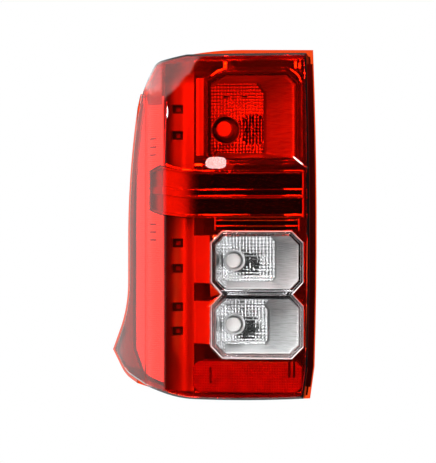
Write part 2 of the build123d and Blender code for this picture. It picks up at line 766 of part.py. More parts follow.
stake_feet = carve(trough_back, lambda: squares_face(STAKES, STAKE_FOOT))
wedge_blocks = [wedge_block(*block_sizes) for block_sizes in BLOCKS]
front_ribs = carve(lambda: band(RIB_SET, PANEL_SET + PANEL_T / 2), lambda: boxes_face(TOP_RIBS))
reflex_rails = carve(
    lambda: band(REFLEX_SET + REFLEX_T, PANEL_SET + PANEL_T / 2),
    lambda: boxes_face(REFLEX_RAILS),
)

with BuildPart() as inner_bezel:
    add(bezel_panel)
    with BuildSketch(Plane.XZ):
        polygon_face(stop_mouth)
        offset(amount=STOP_GAP, kind=Kind.INTERSECTION, mode=Mode.REPLACE)
    extrude(amount=DEEP, both=True, mode=Mode.SUBTRACT)
    with BuildSketch(Plane.XZ):
        eight(PANEL_T)
    extrude(amount=DEEP, both=True, mode=Mode.SUBTRACT)
    with BuildSketch(Plane.XZ) as bar_gap:
        bar_face(BAR_GAP)
        box_face((TROUGH_IN_X - PANEL_T, HIGH, -HIGH, HIGH), mode=Mode.SUBTRACT)
    extrude(amount=DEEP, both=True, mode=Mode.SUBTRACT)
    add([stop_collar, twin_collar, pocket_frames, stake_feet, bezel_bosses, front_ribs, reflex_rails])
    add(wedge_blocks)
    with BuildSketch(facing(BOARD_Y)):
        with Locations(*[(POCKET_X, z) for z in POCKET_Z]):
            Rectangle(*POCKET)
    extrude(amount=-BACK_Y + DEEP / 10, mode=Mode.SUBTRACT)
    with BuildSketch(facing(inner_wall_y)):
        flats_face(SCREWS, SCREW_R + FIT / 3, SCREW_SIDES)
    extrude(amount=SCREW_L, mode=Mode.SUBTRACT)
    with BuildSketch(facing(BOARD_Y + BOARD_T + STAKE_STAND)):
        squares_face(STAKES, STAKE)
    extrude(amount=BOARD_T + 2 * STAKE_STAND)
inner_bezel.part.label = "inner_bezel"
export_step(inner_bezel.part, "parts/inner_bezel.step")

# Reflector bowls
with BuildPart() as stop_reflector:
    add(bowl(stop_mouth, octagon(STOP_BACK, STOP_BACK_CUT), STOP_BACK, STOP_PORT))
    with BuildSketch(facing(BOWL_Y)):
        with Locations(*STOP_SLOTS):
            Rectangle(*STOP_SLOT)
    extrude(amount=2 * BOWL_PLATE, both=True, mode=Mode.SUBTRACT)
stop_reflector.part.label = "stop_reflector"
export_step(stop_reflector.part, "parts/stop_reflector.step")

with BuildPart() as twin_reflector:
    for mouth, back, port in (
        (REVERSE_MOUTH, REVERSE_BACK, REVERSE_PORT),
        (SIGNAL_MOUTH, SIGNAL_BACK, SIGNAL_PORT),
    ):
        add(bowl(octagon(mouth, TWIN_MOUTH_CUT), octagon(back, TWIN_BACK_CUT), back, port))
    with BuildSketch(facing(MOUTH_Y)):
        box_face((*BRIDGE_X, SIGNAL_MOUTH[3] - BOWL_WALL / 2, REVERSE_MOUTH[2] + BOWL_WALL / 2))
    extrude(amount=-BOWL_WALL)
twin_reflector.part.label = "twin_reflector"
export_step(twin_reflector.part, "parts/twin_reflector.step")

# Centre bar: two channels between three lips, hollow at the back
bar_block = carve(lambda: band(BAR_LIP_SET, PANEL_SET), lambda: bar_face(0))
channel_boxes = [
    (BAR_X[0] + BAR_LIP, HIGH, BAR_RIDGE_Z[1], BAR_Z[1] - BAR_LIP),
    (BAR_X[0] + BAR_LIP, HIGH, BAR_Z[0] + BAR_LIP, BAR_RIDGE_Z[0]),
]
bar_channels = carve(lambda: band(0, BAR_FLOOR_SET), lambda: boxes_face(channel_boxes))
bar_hollow = carve(lambda: band(BAR_FLOOR_SET + BAR_SKIN, PANEL_SET + FIT), lambda: bar_face(-BAR_SKIN))
with BuildPart() as centre_bar:
    add(bar_block)
    add(bar_channels, mode=Mode.SUBTRACT)
    add(bar_hollow, mode=Mode.SUBTRACT)
    split(bisect_by=facing(BAR_BACK_Y), keep=Keep.TOP)
centre_bar.part.label = "centre_bar"
export_step(centre_bar.part, "parts/centre_bar.step")

# Side light guide: strip round the corner, with a notch for the bar and shallow dashes
guide_points = [(GUIDE_IN_X, GUIDE_Z[0]), (GUIDE_IN_X, GUIDE_Z[1]), (GUIDE_OUT_X, GUIDE_Z[1])]
guide_points += reversed(GUIDE_CUT)
guide_strip = carve(lambda: band(GUIDE_SET, guide_back), lambda: guide_face(guide_points))
tick_boxes = [(*TICK_X, z - TICK_H / 2, z + TICK_H / 2) for z in TICK_Z]
tick_grooves = carve(lambda: band(0, GUIDE_SET + TICK_D), lambda: boxes_face(tick_boxes))
with BuildPart() as side_light_guide:
    add(guide_strip)
    add(tick_grooves, mode=Mode.SUBTRACT)
    with BuildSketch(Plane.XZ):
        bar_face(BAR_GAP)
    extrude(amount=DEEP, both=True, mode=Mode.SUBTRACT)
side_light_guide.part.label = "side_light_guide"
export_step(side_light_guide.part, "parts/side_light_guide.step")

# Reflex panel with its three upright slots
reflex_points = octagon(REFLEX, ((REFLEX_CUT, REFLEX_CUT),) * 4)
reflex_plate = carve(lambda: band(REFLEX_SET, REFLEX_SET + REFLEX_T), lambda: polygon_face(reflex_points))
with BuildPart() as reflex_reflector:
    add(reflex_plate)
    with BuildSketch(Plane.XZ):
        with Locations(*REFLEX_SLOTS):
            Rectangle(*REFLEX_SLOT)
    extrude(amount=DEEP, both=True, mode=Mode.SUBTRACT)
reflex_reflector.part.label = "reflex_reflector"
export_step(reflex_reflector.part, "parts/reflex_reflector.step")

# Strip board on three stakes, and its emitters
board_low = min(POCKET_Z) - BOARD_END
board_high = max(POCKET_Z) + BOARD_END
with BuildPart() as led_board:
    block((POCKET_X, (board_low + board_high) / 2), BOARD_Y, (BOARD_W, board_high - board_low), BOARD_T)
    with BuildSketch(facing(BOARD_Y)):
        squares_face(STAKES, STAKE + 2 * FIT)
    extrude(amount=BOARD_T, both=True, mode=Mode.SUBTRACT)
led_board.part.label = "led_board"
export_step(led_board.part, "parts/led_board.step")

with BuildPart() as led_chips:
    for chip_z in POCKET_Z:
        block((POCKET_X, chip_z), BOARD_Y - CHIP_T, (CHIP, CHIP), CHIP_T)
led_chips.part.label = "led_chips"
export_step(led_chips.part, "parts/led_chips.step")

# Bulbs and twist-lock holders
with BuildPart() as stop_bulb:
    add(wedge_bulb(STOP_PORT))
stop_bulb.part.label = "stop_bulb"
export_step(stop_bulb.part, "parts/stop_bulb.step")

with BuildPart() as reverse_bulb:
    add(wedge_bulb(REVERSE_PORT))
reverse_bulb.part.label = "reverse_bulb"
export_step(reverse_bulb.part, "parts/reverse_bulb.step")

with BuildPart() as signal_bulb:
    add(wedge_bulb(SIGNAL_PORT))
signal_bulb.part.label = "signal_bulb"
export_step(signal_bulb.part, "parts/signal_bulb.step")

with BuildPart() as stop_bulb_holder:
    twist_lock(STOP_PORT)
stop_bulb_holder.part.label = "stop_bulb_holder"
export_step(stop_bulb_holder.part, "parts/stop_bulb_holder.step")

with BuildPart() as reverse_bulb_holder:
    twist_lock(REVERSE_PORT)
reverse_bulb_holder.part.label = "reverse_bulb_holder"
export_step(reverse_bulb_holder.part, "parts/reverse_bulb_holder.step")

with BuildPart() as signal_bulb_holder:
    twist_lock(SIGNAL_PORT)
signal_bulb_holder.part.label = "signal_bulb_holder"
export_step(signal_bulb_holder.part, "parts/signal_bulb_holder.step")

with BuildPart() as holder_seals:
    with BuildSketch(facing(SEAT_Y)):
        flats_face(ports, SEAL_R, SEAL_SIDES)
        with Locations(*ports):
            RegularPolygon(NECK_R + FIT, SEAL_SIDES, mode=Mode.SUBTRACT)
    extrude(amount=-SEAL_T)
holder_seals.part.label = "holder_seals"
export_step(holder_seals.part, "parts/holder_seals.step")

with BuildPart() as holder_terminals:
    pocket_y = SEAT_Y + SEAL_T + HOLDER_FLANGE_T + GRIP_L + SHROUD_L - SHROUD_POCKET
    with BuildSketch(facing(pocket_y)):
        with Locations(*ports):
            with GridLocations(BLADE_PITCH, BLADE_PITCH, 2, 1):
                Rectangle(*BLADE)
    extrude(amount=-BLADE_L)
holder_terminals.part.label = "holder_terminals"
export_step(holder_terminals.part, "parts/holder_terminals.step")

# Foam gasket that seals the back against the body
gasket_points = octagon(GASKET, ((GASKET_CORNER, GASKET_CORNER),) * 4)
with BuildPart() as mounting_gasket:
    with BuildSketch(facing(BACK_Y)):
        ring_face(gasket_points, -GASKET_W, 0)
    extrude(amount=-GASKET_T)
mounting_gasket.part.label = "mounting_gasket"
export_step(mounting_gasket.part, "parts/mounting_gasket.step")

# Steel sleeves, nylon pins, vent caps and screws
with BuildPart() as bolt_bushes:
    with BuildSketch(Plane.YZ.offset(BUSH_STAND)):
        with Locations((0, -BOLT_Z), (0, BOLT_Z)):
            Circle(BUSH_R)
            Circle(BOLT_R, mode=Mode.SUBTRACT)
    extrude(amount=-TAB_T - 2 * BUSH_STAND)
bolt_bushes.part.label = "bolt_bushes"
export_step(bolt_bushes.part, "parts/bolt_bushes.step")

with BuildPart() as locating_pins:
    with BuildSketch(facing(WING_Y)):
        flats_face(PIN_SPOTS, PIN_ROOT_R, PIN_SIDES)
    extrude(amount=PIN_ROOT_L - FIT)
    with BuildSketch(facing(WING_Y)):
        flats_face(PIN_SPOTS, PIN_COLLAR_R, PIN_SIDES)
    extrude(amount=-PIN_COLLAR_T)
    with BuildSketch(facing(WING_Y + PIN_COLLAR_T)):
        spots_face(PIN_SPOTS, PIN_R)
    extrude(amount=-PIN_L)
locating_pins.part.label = "locating_pins"
export_step(locating_pins.part, "parts/locating_pins.step")

with BuildPart() as breather_caps:
    with BuildSketch(facing(BACK_Y + CAP_L)):
        flats_face(VENTS, VENT_R + CAP_WALL, VENT_SIDES)
    extrude(amount=CAP_L - 2 * FIT)
    with BuildSketch(facing(BACK_Y + VENT_L)):
        flats_face(VENTS, VENT_R, VENT_SIDES)
    extrude(amount=VENT_L, mode=Mode.SUBTRACT)
breather_caps.part.label = "breather_caps"
export_step(breather_caps.part, "parts/breather_caps.step")

with BuildPart() as bezel_screws:
    with BuildSketch(facing(BACK_Y)):
        flats_face(SCREWS, SCREW_R, SCREW_SIDES)
    extrude(amount=SCREW_L)
    with BuildSketch(facing(BACK_Y)):
        flats_face(SCREWS, SCREW_HEAD_R, HEAD_SIDES)
    extrude(amount=-SCREW_HEAD_T)
bezel_screws.part.label = "bezel_screws"
export_step(bezel_screws.part, "parts/bezel_screws.step")
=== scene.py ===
"""Looks of a left rear combination lamp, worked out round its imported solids, in the same frame.

Sizes are in millimetres and become metres where a mesh is made.  X runs towards the tailgate, Y towards the
front of the vehicle and Z up, so the lamp's face looks along -Y.
"""
import math

import bmesh
import bpy
import numpy as np
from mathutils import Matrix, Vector


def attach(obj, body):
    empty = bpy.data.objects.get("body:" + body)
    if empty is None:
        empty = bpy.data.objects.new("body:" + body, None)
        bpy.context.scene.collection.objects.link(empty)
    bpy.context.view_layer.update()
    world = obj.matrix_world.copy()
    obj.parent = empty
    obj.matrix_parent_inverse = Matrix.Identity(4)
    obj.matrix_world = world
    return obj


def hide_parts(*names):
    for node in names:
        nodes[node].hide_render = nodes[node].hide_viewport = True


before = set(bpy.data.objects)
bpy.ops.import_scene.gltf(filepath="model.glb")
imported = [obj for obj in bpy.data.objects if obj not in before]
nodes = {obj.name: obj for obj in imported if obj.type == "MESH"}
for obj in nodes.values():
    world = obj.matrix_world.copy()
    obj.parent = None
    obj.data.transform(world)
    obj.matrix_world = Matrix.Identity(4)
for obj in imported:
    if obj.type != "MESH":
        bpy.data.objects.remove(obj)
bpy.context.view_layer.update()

scene = bpy.context.scene
scene.view_settings.view_transform = "Standard"
MM = 0.001

# Lens skin in plan: face arc, corner arc and side arc, turned from straight rearward
FACE_R, CORNER_R, SIDE_R = 800.0, 36.0, 1240.0
TURN_CORNER, TURN_SIDE = math.radians(-9.6), math.radians(-62.0)
FACE_C = np.array([-40.0, 686.0])


def round_point(center, radius, turn):
    """Point at a radius from a centre in plan, turned from straight rearward."""
    return center + radius * np.array([math.sin(turn), -math.cos(turn)])


CORNER_C = round_point(FACE_C, FACE_R - CORNER_R, TURN_CORNER)
SIDE_C = round_point(CORNER_C, CORNER_R - SIDE_R, TURN_SIDE)

# Low relief of the lens: a brow under the stop chamber, a slanting glint beside it, a frosted shoulder along
# the line z = slope * x + rise, and a spark on the strip's crease
BROW_AT, BROW_HALF = (-108.4, 75.0), (12.6, 7.2)
GLINT_AT, GLINT_COS, GLINT_SIN = (-6.9, 74.8), 0.783, 0.624
SHOULDER_SLOPE, SHOULDER_RISE, SHOULDER_LOW = 0.8, 291.6, 156.0
SHOULDER_END, SHOULDER_TOP = (-144.0, -106.0), (202.0, 205.0)
SPARK_AT, SPARK_HALF = (-168.4, 136.8), (1.4, 7.5)
RELIEF_LEAN, SPARK_TURN, SHOULDER_LEAN, SHOULDER_TURN = 0.366, 0.085, 0.17, 0.12

# Places that the coatings and their painted shade follow: boxes of the blocks, and spans over which satin and
# painted shade come or go
BLOCKS = (
    (-135.8, -126.5, 85.0, 179.0), (-138.6, -117.8, -69.5, -12.5), (-138.6, -117.8, -143.0, -92.0),
)
TROUGH_EDGE, TROUGH_OUTER, TROUGH_HEAD = (-139.5, -138.0), (-172.0, -161.0), (168.0, 186.0)
BEZEL_TOP, BEZEL_SILL = (186.0, 189.0), (-204.0, -201.0)
BAR_END, WINDOW_WAIST = (-150.0, -128.0), (-100.0, -84.0)
VALLEYS_FADE, VALLEYS_LOW = (126.0, 140.0), (97.0, 103.0)

# Pillows of about one size fill the box on the stop chamber's back
STOP_BACK = (-123.2, -55.0, 87.0, 177.5)
PILLOW, PILLOW_STEPS = 4.0, 8


# Shader trees
def maths(operation, swapped=False):
    """Operator on tones that adds a Math node; swapped makes its reflected form."""
    def apply(self, other=0.0):
        first, second = (other, self) if swapped else (self, other)
        return self.paint.sum(operation, first, second)

    return apply


class Tone:
    """A socket of a shader tree; arithmetic on tones adds Math nodes."""

    def __init__(self, paint, socket):
        self.paint = paint
        self.socket = socket

    __add__ = __radd__ = maths("ADD")
    __sub__, __rsub__ = maths("SUBTRACT"), maths("SUBTRACT", swapped=True)
    __mul__ = __rmul__ = maths("MULTIPLY")
    __truediv__, __rtruediv__ = maths("DIVIDE"), maths("DIVIDE", swapped=True)
    __pow__, __rpow__ = maths("POWER"), maths("POWER", swapped=True)
    __abs__ = maths("ABSOLUTE")


class Paint:
    """A shader tree under construction."""

    def __init__(self, owner):
        owner.use_nodes = True
        self.owner = owner
        self.tree = owner.node_tree
        self.tree.nodes.clear()

    def node(self, kind, values=None, settings=None, out=0):
        """A node of a type: its settings are set first, then its sockets get values or links."""
        made = self.tree.nodes.new(kind)
        for key, value in (settings or {}).items():
            setattr(made, key, value)
        for key, value in (values or {}).items():
            if isinstance(value, Tone):
                self.tree.links.new(value.socket, made.inputs[key])
            else:
                made.inputs[key].default_value = value
        return Tone(self, made.outputs[out]) if made.outputs else None

    def sum(self, operation, first, second):
        """Math node on two values."""
        return self.node("ShaderNodeMath", {0: first, 1: second}, {"operation": operation})

    def smooth(self, tone, low, high):
        """0 below low, 1 above high, and a smooth step between."""
        values = {"Value": tone, "From Min": low, "From Max": high}
        return self.node("ShaderNodeMapRange", values, {"interpolation_type": "SMOOTHSTEP"})

    def blend(self, share, first, second):
        """Colour between two, by a share."""
        values = {0: share, 6: first, 7: second}
        return self.node("ShaderNodeMix", values, {"data_type": "RGBA"}, out=2)

    def place(self):
        """Object coordinates."""
        return self.node("ShaderNodeTexCoord", out=3)

    def axis(self, which):
        """Object coordinate along X, Y or Z, in millimetres."""
        return self.node("ShaderNodeSeparateXYZ", {0: self.place()}, out=which) * 1000.0

    def noise(self, size, detail=2.0, where=None):
        """Cloudy value with features of a size in millimetres."""
        values = {"Vector": where or self.place(), "Scale": 1000.0 / size, "Detail": detail}
        return self.node("ShaderNodeTexNoise", values)

    def bump(self, height, strength, depth):
        """Normal that follows a height, of a depth in millimetres."""
        values = {"Strength": strength, "Distance": depth * MM, "Height": height}
        return self.node("ShaderNodeBump", values)

    def surface(self, values):
        return self.node("ShaderNodeBsdfPrincipled", values)

    def finish(self, shader, kind="ShaderNodeOutputMaterial"):
        """Links the output and gives back what the tree belongs to."""
        self.node(kind, {"Surface": shader})
        return self.owner


def paint(name):
    return Paint(bpy.data.materials.new(name))


def rgb(red, green, blue):
    return (red, green, blue, 1.0)


def grey(value):
    return rgb(value, value, value)


def lens_relief(p):
    """Lens normal with its low relief, and a frosted share.

    Brow, glint and spark lean the surface up, the shoulder less; spark and shoulder also turn it.
    """
    x, z = p.axis(0), p.axis(2)
    ragged = (p.noise(7.0) - 0.5) * 0.5
    brow = abs((x - BROW_AT[0]) / BROW_HALF[0]) ** 3.0 + abs((z - BROW_AT[1]) / BROW_HALF[1]) ** 3.0
    brow = 1.0 - p.smooth(brow + ragged, 0.75, 1.05)
    off_x, off_z = x - GLINT_AT[0], z - GLINT_AT[1]
    slant = abs(off_x * GLINT_SIN + off_z * GLINT_COS)
    reach = abs(off_x * GLINT_COS - off_z * GLINT_SIN)
    glint = (1.0 - p.smooth(slant, 0.5, 1.0)) * (1.0 - p.smooth(reach, 10.0, 12.0))
    line = p.sum("MAXIMUM", x * SHOULDER_SLOPE + SHOULDER_RISE, SHOULDER_LOW)
    shoulder = p.smooth(z - line + (p.noise(9.0, 3.0) - 0.5) * 16.0, -8.0, 20.0)
    shoulder = shoulder * (1.0 - p.smooth(x, *SHOULDER_END)) * (1.0 - p.smooth(z, *SHOULDER_TOP))
    spark = abs((x - SPARK_AT[0]) / SPARK_HALF[0]) + abs((z - SPARK_AT[1]) / SPARK_HALF[1]) ** 2.0
    spark = 1.0 - p.smooth(spark, 0.8, 1.1)
    lean = p.node("ShaderNodeCombineXYZ", {
        "X": spark * SPARK_TURN - shoulder * SHOULDER_TURN,
        "Z": (brow + glint + spark) * RELIEF_LEAN + shoulder * SHOULDER_LEAN,
    })
    plain = p.node("ShaderNodeNewGeometry", out=1)
    leaning = p.node("ShaderNodeVectorMath", {0: plain, 1: lean}, {"operation": "ADD"})
    frost = brow * (p.noise(1.6, 3.0) * 0.36 + 0.1)
    return p.node("ShaderNodeVectorMath", {0: leaning}, {"operation": "NORMALIZE"}), frost


def clear_moulding(name, tint, shade, roughness, relief=False):
    """See-through moulding: refracts, and lets lamp light through its own shadow in its colour."""
    p = paint(name)
    wear = p.noise(22.0, 3.0)
    values = {
        "Base Color": tint,
        "Roughness": roughness + wear * roughness,
        "IOR": 1.49,
        "Transmission Weight": 1.0,
    }
    if relief:
        values["Normal"], frost = lens_relief(p)
        values["Roughness"] = values["Roughness"] + frost
    glass = p.surface(values)
    through = p.node("ShaderNodeBsdfTransparent", {"Color": shade})
    shadow = p.node("ShaderNodeLightPath", out=1)
    return p.finish(p.node("ShaderNodeMixShader", {0: shadow, 1: glass, 2: through}))


def metallised(name, colour, roughness, metallic=1.0, satin=None, shade=None, dull=None):
    """Vapour-coated plastic: bright, cloudy sheen, a trace of waviness.

    Satin, shade and dull are functions of the tree that roughen, darken and dull some places.
    """
    p = paint(name)
    cloud = p.noise(16.0, 3.0)
    sheen = roughness + cloud * roughness * 0.7
    tone = p.blend(cloud * 0.5, colour, rgb(*[c * 0.9 for c in colour[:3]]))
    if satin:
        sheen = sheen + satin(p)
    if shade:
        tone = p.blend(shade(p), tone, rgb(*[c * 0.12 for c in colour[:3]]))
    values = {
        "Base Color": tone,
        "Metallic": 1.0 - dull(p) * 0.6 if dull else metallic,
        "Roughness": sheen,
        "Normal": p.bump(p.noise(9.0, 1.0) + p.noise(1.2, 1.0) * 0.05, 0.12, 0.25),
    }
    return p.finish(p.surface(values))


def between(p, tone, low, high):
    """1 between two values, with soft ends half a millimetre either way."""
    return p.smooth(tone, low - 0.5, low + 0.5) * (1.0 - p.smooth(tone, high - 0.5, high + 0.5))


def on_blocks(p):
    """Places on the outboard blocks beside the chambers."""
    x, z = p.axis(0), p.axis(2)
    return sum(between(p, x, left, right) * between(p, z, low, high) for left, right, low, high in BLOCKS)


def in_trough(p):
    """Places in the outboard trough."""
    return 1.0 - p.smooth(p.axis(0), *TROUGH_EDGE)


def bar_end_share(p):
    """1 on the outboard end of the centre bar, easing to 0 along it."""
    return 1.0 - p.smooth(p.axis(0), *BAR_END)


def above_waist(p):
    """1 on the upper half of the window's frame, easing to 0 below its waist."""
    return p.smooth(p.axis(2), *WINDOW_WAIST)


def bezel_painted_shade(p):
    """Painted shade in the trough, most at its outer side and head, on the borders and on the blocks."""
    x, z = p.axis(0), p.axis(2)
    outer = (1.0 - p.smooth(x, *TROUGH_OUTER)) * 0.42
    trough = outer + in_trough(p) * (p.smooth(z, *TROUGH_HEAD) * 0.5 + 0.64)
    borders = p.smooth(z, *BEZEL_TOP) * 0.4 + (1.0 - p.smooth(z, *BEZEL_SILL)) * 0.75
    return trough * 0.82 + borders + on_blocks(p) * 0.58


def wall_lines(p):
    """Fine uneven lines on the chamber walls, drawn from the mouth to the back."""
    drawn = p.node("ShaderNodeMapping", {"Vector": p.place(), "Scale": (0.05, 0.05, 1.0)})
    return p.smooth(p.noise(1.1, 2.0, drawn), 0.42, 0.72) * 0.32


def pillow_phase(p, which, start, length):
    """-1 to 1 across each pillow of a row of whole pillows."""
    pitch = length / int(length / PILLOW)
    return p.sum("FRACT", (p.axis(which) - start) / pitch, 0.0) * 2.0 - 1.0


def stop_valley_shade(p):
    """Painted shade in the valleys between the stop chamber's pillows, and over the lowest of them."""
    left, right, low, high = STOP_BACK
    across, along = pillow_phase(p, 0, left, right - left), pillow_phase(p, 2, low, high - low)
    line = p.sum("MAXIMUM", abs(across), abs(along))
    upper = p.smooth(p.axis(2), *VALLEYS_FADE)
    lower = 1.0 - p.smooth(p.axis(2), *VALLEYS_LOW)
    return p.smooth(line, 0.6, 0.92) * (0.9 - upper * 0.45) + lower * 0.34


def moulded(name, dark, light, roughness, grain, depth):
    """Moulded plastic: spark-eroded grain, cloudy colour and a slightly uneven gloss."""
    p = paint(name)
    cloud = p.noise(30.0, 3.0)
    pits = p.noise(grain)
    values = {
        "Base Color": p.blend(p.smooth(cloud, 0.35, 0.7), dark, light),
        "Roughness": roughness + (pits - 0.5) * 0.18,
        "Normal": p.bump(pits, 0.5, depth),
    }
    return p.finish(p.surface(values))


def plated(name, colour, tarnish, roughness):
    """Plated metal: fine turning lines and a little tarnish in clouds."""
    p = paint(name)
    cloud = p.noise(5.0, 4.0)
    stretched = p.node("ShaderNodeMapping", {"Vector": p.place(), "Scale": (9.0, 1.0, 1.0)})
    lines = p.noise(3.0, 2.0, stretched)
    values = {
        "Base Color": p.blend(p.smooth(cloud, 0.5, 0.75), colour, tarnish),
        "Metallic": 1.0,
        "Roughness": roughness + lines * 0.15,
        "Normal": p.bump(lines, 0.15, 0.05),
    }
    return p.finish(p.surface(values))


def frosted(name, colour, shade, roughness, grain):
    """Milky moulding or opal glass: even colour with a faint cloud and a satin surface."""
    p = paint(name)
    cloud = p.noise(12.0)
    values = {
        "Base Color": p.blend(cloud, colour, shade),
        "Roughness": roughness + cloud * 0.1,
        "Coat Weight": 0.5,
        "Normal": p.bump(p.noise(grain, 1.0), 0.15, 0.05),
    }
    return p.finish(p.surface(values))


RED_LENS = clear_moulding(
    "red_lens_moulding", rgb(0.97, 0.075, 0.011), rgb(0.98, 0.22, 0.1), 0.008, relief=True,
)
CLEAR_LENS = clear_moulding("clear_lens_moulding", rgb(0.97, 0.98, 0.98), grey(0.97), 0.006)
SILVER = metallised("silver_coating", rgb(0.86, 0.86, 0.87), 0.07)
# The bar's coating is satin and carries painted shade towards its outboard end.
BAR_SILVER = metallised(
    "bar_coating_painted_shade", rgb(0.7, 0.7, 0.71), 0.025,
    satin=lambda p: bar_end_share(p) * 0.22, shade=lambda p: bar_end_share(p) * 0.4,
)
# The bezel's coating carries painted shade in its trough, on its upper and lower borders and on the blocks.
BEZEL_SILVER = metallised(
    "bezel_coating_painted_shade", rgb(0.86, 0.86, 0.87), 0.07,
    satin=lambda p: (in_trough(p) + on_blocks(p)) * 0.24, shade=bezel_painted_shade, dull=on_blocks,
)
PEARL = metallised("pearl_coating", rgb(0.36, 0.37, 0.37), 0.3, metallic=0.4, shade=wall_lines)
# A darker copy of the pearl coating: painted shade on the stop chamber's walls.
PEARL_DARK = metallised("stop_pearl_coating_painted_shade", grey(0.3), 0.3, metallic=0.4, shade=wall_lines)
PILLOW_SILVER = metallised("pillow_coating", rgb(0.8, 0.8, 0.81), 0.05)
# The stop chamber's pillows carry painted shade in their valleys and over the lowest rows.
STOP_SILVER_PAINTED_SHADE = metallised("stop_pillow_coating_painted_shade", grey(0.95), 0.05, shade=stop_valley_shade)
TRIM_SILVER = metallised("trim_coating", rgb(0.42, 0.42, 0.43), 0.05)
# The frame's coating carries painted shade above the window's waist and is satin below it.
FRAME_SILVER = metallised(
    "frame_coating_painted_shade", rgb(0.42, 0.42, 0.43), 0.05,
    satin=lambda p: (1.0 - above_waist(p)) * 0.13, shade=lambda p: above_waist(p) * 0.85,
)
# A darker copy of the trim coating: painted shade on the stop chamber's frames.
TRIM_DARK = metallised("stop_trim_painted_shade", grey(0.25), 0.05)
LINER = metallised("liner_coating", grey(0.2), 0.3)
# Dark satin coating; on the stop chamber's floor it is painted shade.
SATIN_DARK = metallised("dark_satin_coating", grey(0.19), 0.25)
SATIN_SILVER = metallised("satin_silver_coating", rgb(0.9, 0.9, 0.91), 0.3)
BLACK = moulded("black_moulding", rgb(0.018, 0.018, 0.02), rgb(0.032, 0.032, 0.035), 0.52, 0.7, 0.06)
GREY = moulded("grey_moulding", rgb(0.13, 0.13, 0.14), rgb(0.18, 0.18, 0.185), 0.48, 0.6, 0.04)
NYLON = moulded("natural_nylon", rgb(0.74, 0.72, 0.66), rgb(0.82, 0.81, 0.77), 0.4, 0.8, 0.03)
RUBBER = moulded("black_rubber", rgb(0.016, 0.016, 0.017), grey(0.03), 0.7, 0.5, 0.03)
FOAM = moulded("closed_cell_foam", rgb(0.03, 0.03, 0.032), rgb(0.06, 0.06, 0.062), 0.85, 0.9, 0.35)
SOLDER_MASK = moulded("solder_mask", rgb(0.01, 0.12, 0.05), rgb(0.02, 0.2, 0.08), 0.35, 1.2, 0.02)
ZINC = plated("zinc_plate", rgb(0.72, 0.71, 0.66), rgb(0.6, 0.56, 0.42), 0.25)
BRASS = plated("tinned_brass", rgb(0.82, 0.74, 0.5), rgb(0.7, 0.55, 0.3), 0.25)
OPAL = frosted("opal_glass", rgb(0.5, 0.5, 0.49), rgb(0.46, 0.46, 0.45), 0.6, 3.0)
MILKY = frosted("milky_light_guide", rgb(0.88, 0.84, 0.82), rgb(0.84, 0.8, 0.78), 0.25, 0.8)
EMITTER = frosted("emitter_resin", rgb(0.2, 0.17, 0.07), rgb(0.16, 0.13, 0.05), 0.3, 0.8)
PRISM = frosted("red_prism_moulding", rgb(0.19, 0.022, 0.007), rgb(0.08, 0.01, 0.003), 0.1, 1.5)
SLIT = moulded("dark_slit", rgb(0.01, 0.008, 0.008), rgb(0.02, 0.015, 0.015), 0.5, 0.5, 0.02)


# Surfaces: distances in metres at which points become one, and the bend below which faces become one
SEAM, WELD, FLAT = 1e-7, 2e-6, math.radians(0.25)


def grid_faces(rows, columns, close=False):
    """Quads of a grid of points stored row by row; a closed grid joins its last column to its first."""
    i = np.arange(rows - 1)[:, None]
    j = np.arange(columns if close else columns - 1)[None, :]
    k = (j + 1) % columns
    corners = (i * columns + j, i * columns + k, (i + 1) * columns + k, (i + 1) * columns + j)
    return np.stack(np.broadcast_arrays(*corners), -1).reshape(-1, 4)


def patch(grid, close=False):
    """Points and faces of a surface from grids of x, y and z, which are spread to one shape."""
    points = np.stack(np.broadcast_arrays(*grid), -1)
    return points.reshape(-1, 3), grid_faces(*points.shape[:2], close)


def piece(name, points, faces, material, slot, replaces=()):
    """Smooth mesh piece from points in millimetres, with outward faces, riding on the lamp."""
    mesh = bpy.data.meshes.new(name)
    mesh.from_pydata((np.asarray(points).reshape(-1, 3) * MM).tolist(), [], [list(f) for f in faces])
    b = bmesh.new()
    b.from_mesh(mesh)
    bmesh.ops.delete(b, geom=[v for v in b.verts if not v.link_faces], context="VERTS")
    bmesh.ops.remove_doubles(b, verts=b.verts, dist=SEAM)
    bmesh.ops.recalc_face_normals(b, faces=b.faces)
    b.to_mesh(mesh)
    b.free()
    return settle(name, mesh, material, replaces)


def linked(name, data):
    """New object in the scene."""
    obj = bpy.data.objects.new(name, data)
    scene.collection.objects.link(obj)
    return obj


def settle(name, mesh, material, replaces=()):
    """Smooth object of a mesh, with its material, body and the solids it stands for."""
    mesh.polygons.foreach_set("use_smooth", np.ones(len(mesh.polygons), bool))
    mesh.materials.clear()
    mesh.materials.append(material)
    obj = linked(name, mesh)
    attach(obj, "root")
    if replaces:
        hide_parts(*replaces)
    return obj


def thicken(obj, thickness):
    """Gives a sheet its thickness behind the face that shows."""
    wall = obj.modifiers.new("wall", "SOLIDIFY")
    wall.thickness = thickness * MM
    wall.offset = -1.0


def sheet(name, grid, material, wall, slot="silvered", replaces=(), keep=None):
    """Grid of x, y and z as a piece with a wall behind it; keep marks the cells that stay."""
    points, faces = patch(grid)
    if keep is not None:
        faces = faces[keep.ravel()]
    thicken(piece(name, points, faces, material, slot, replaces), wall)


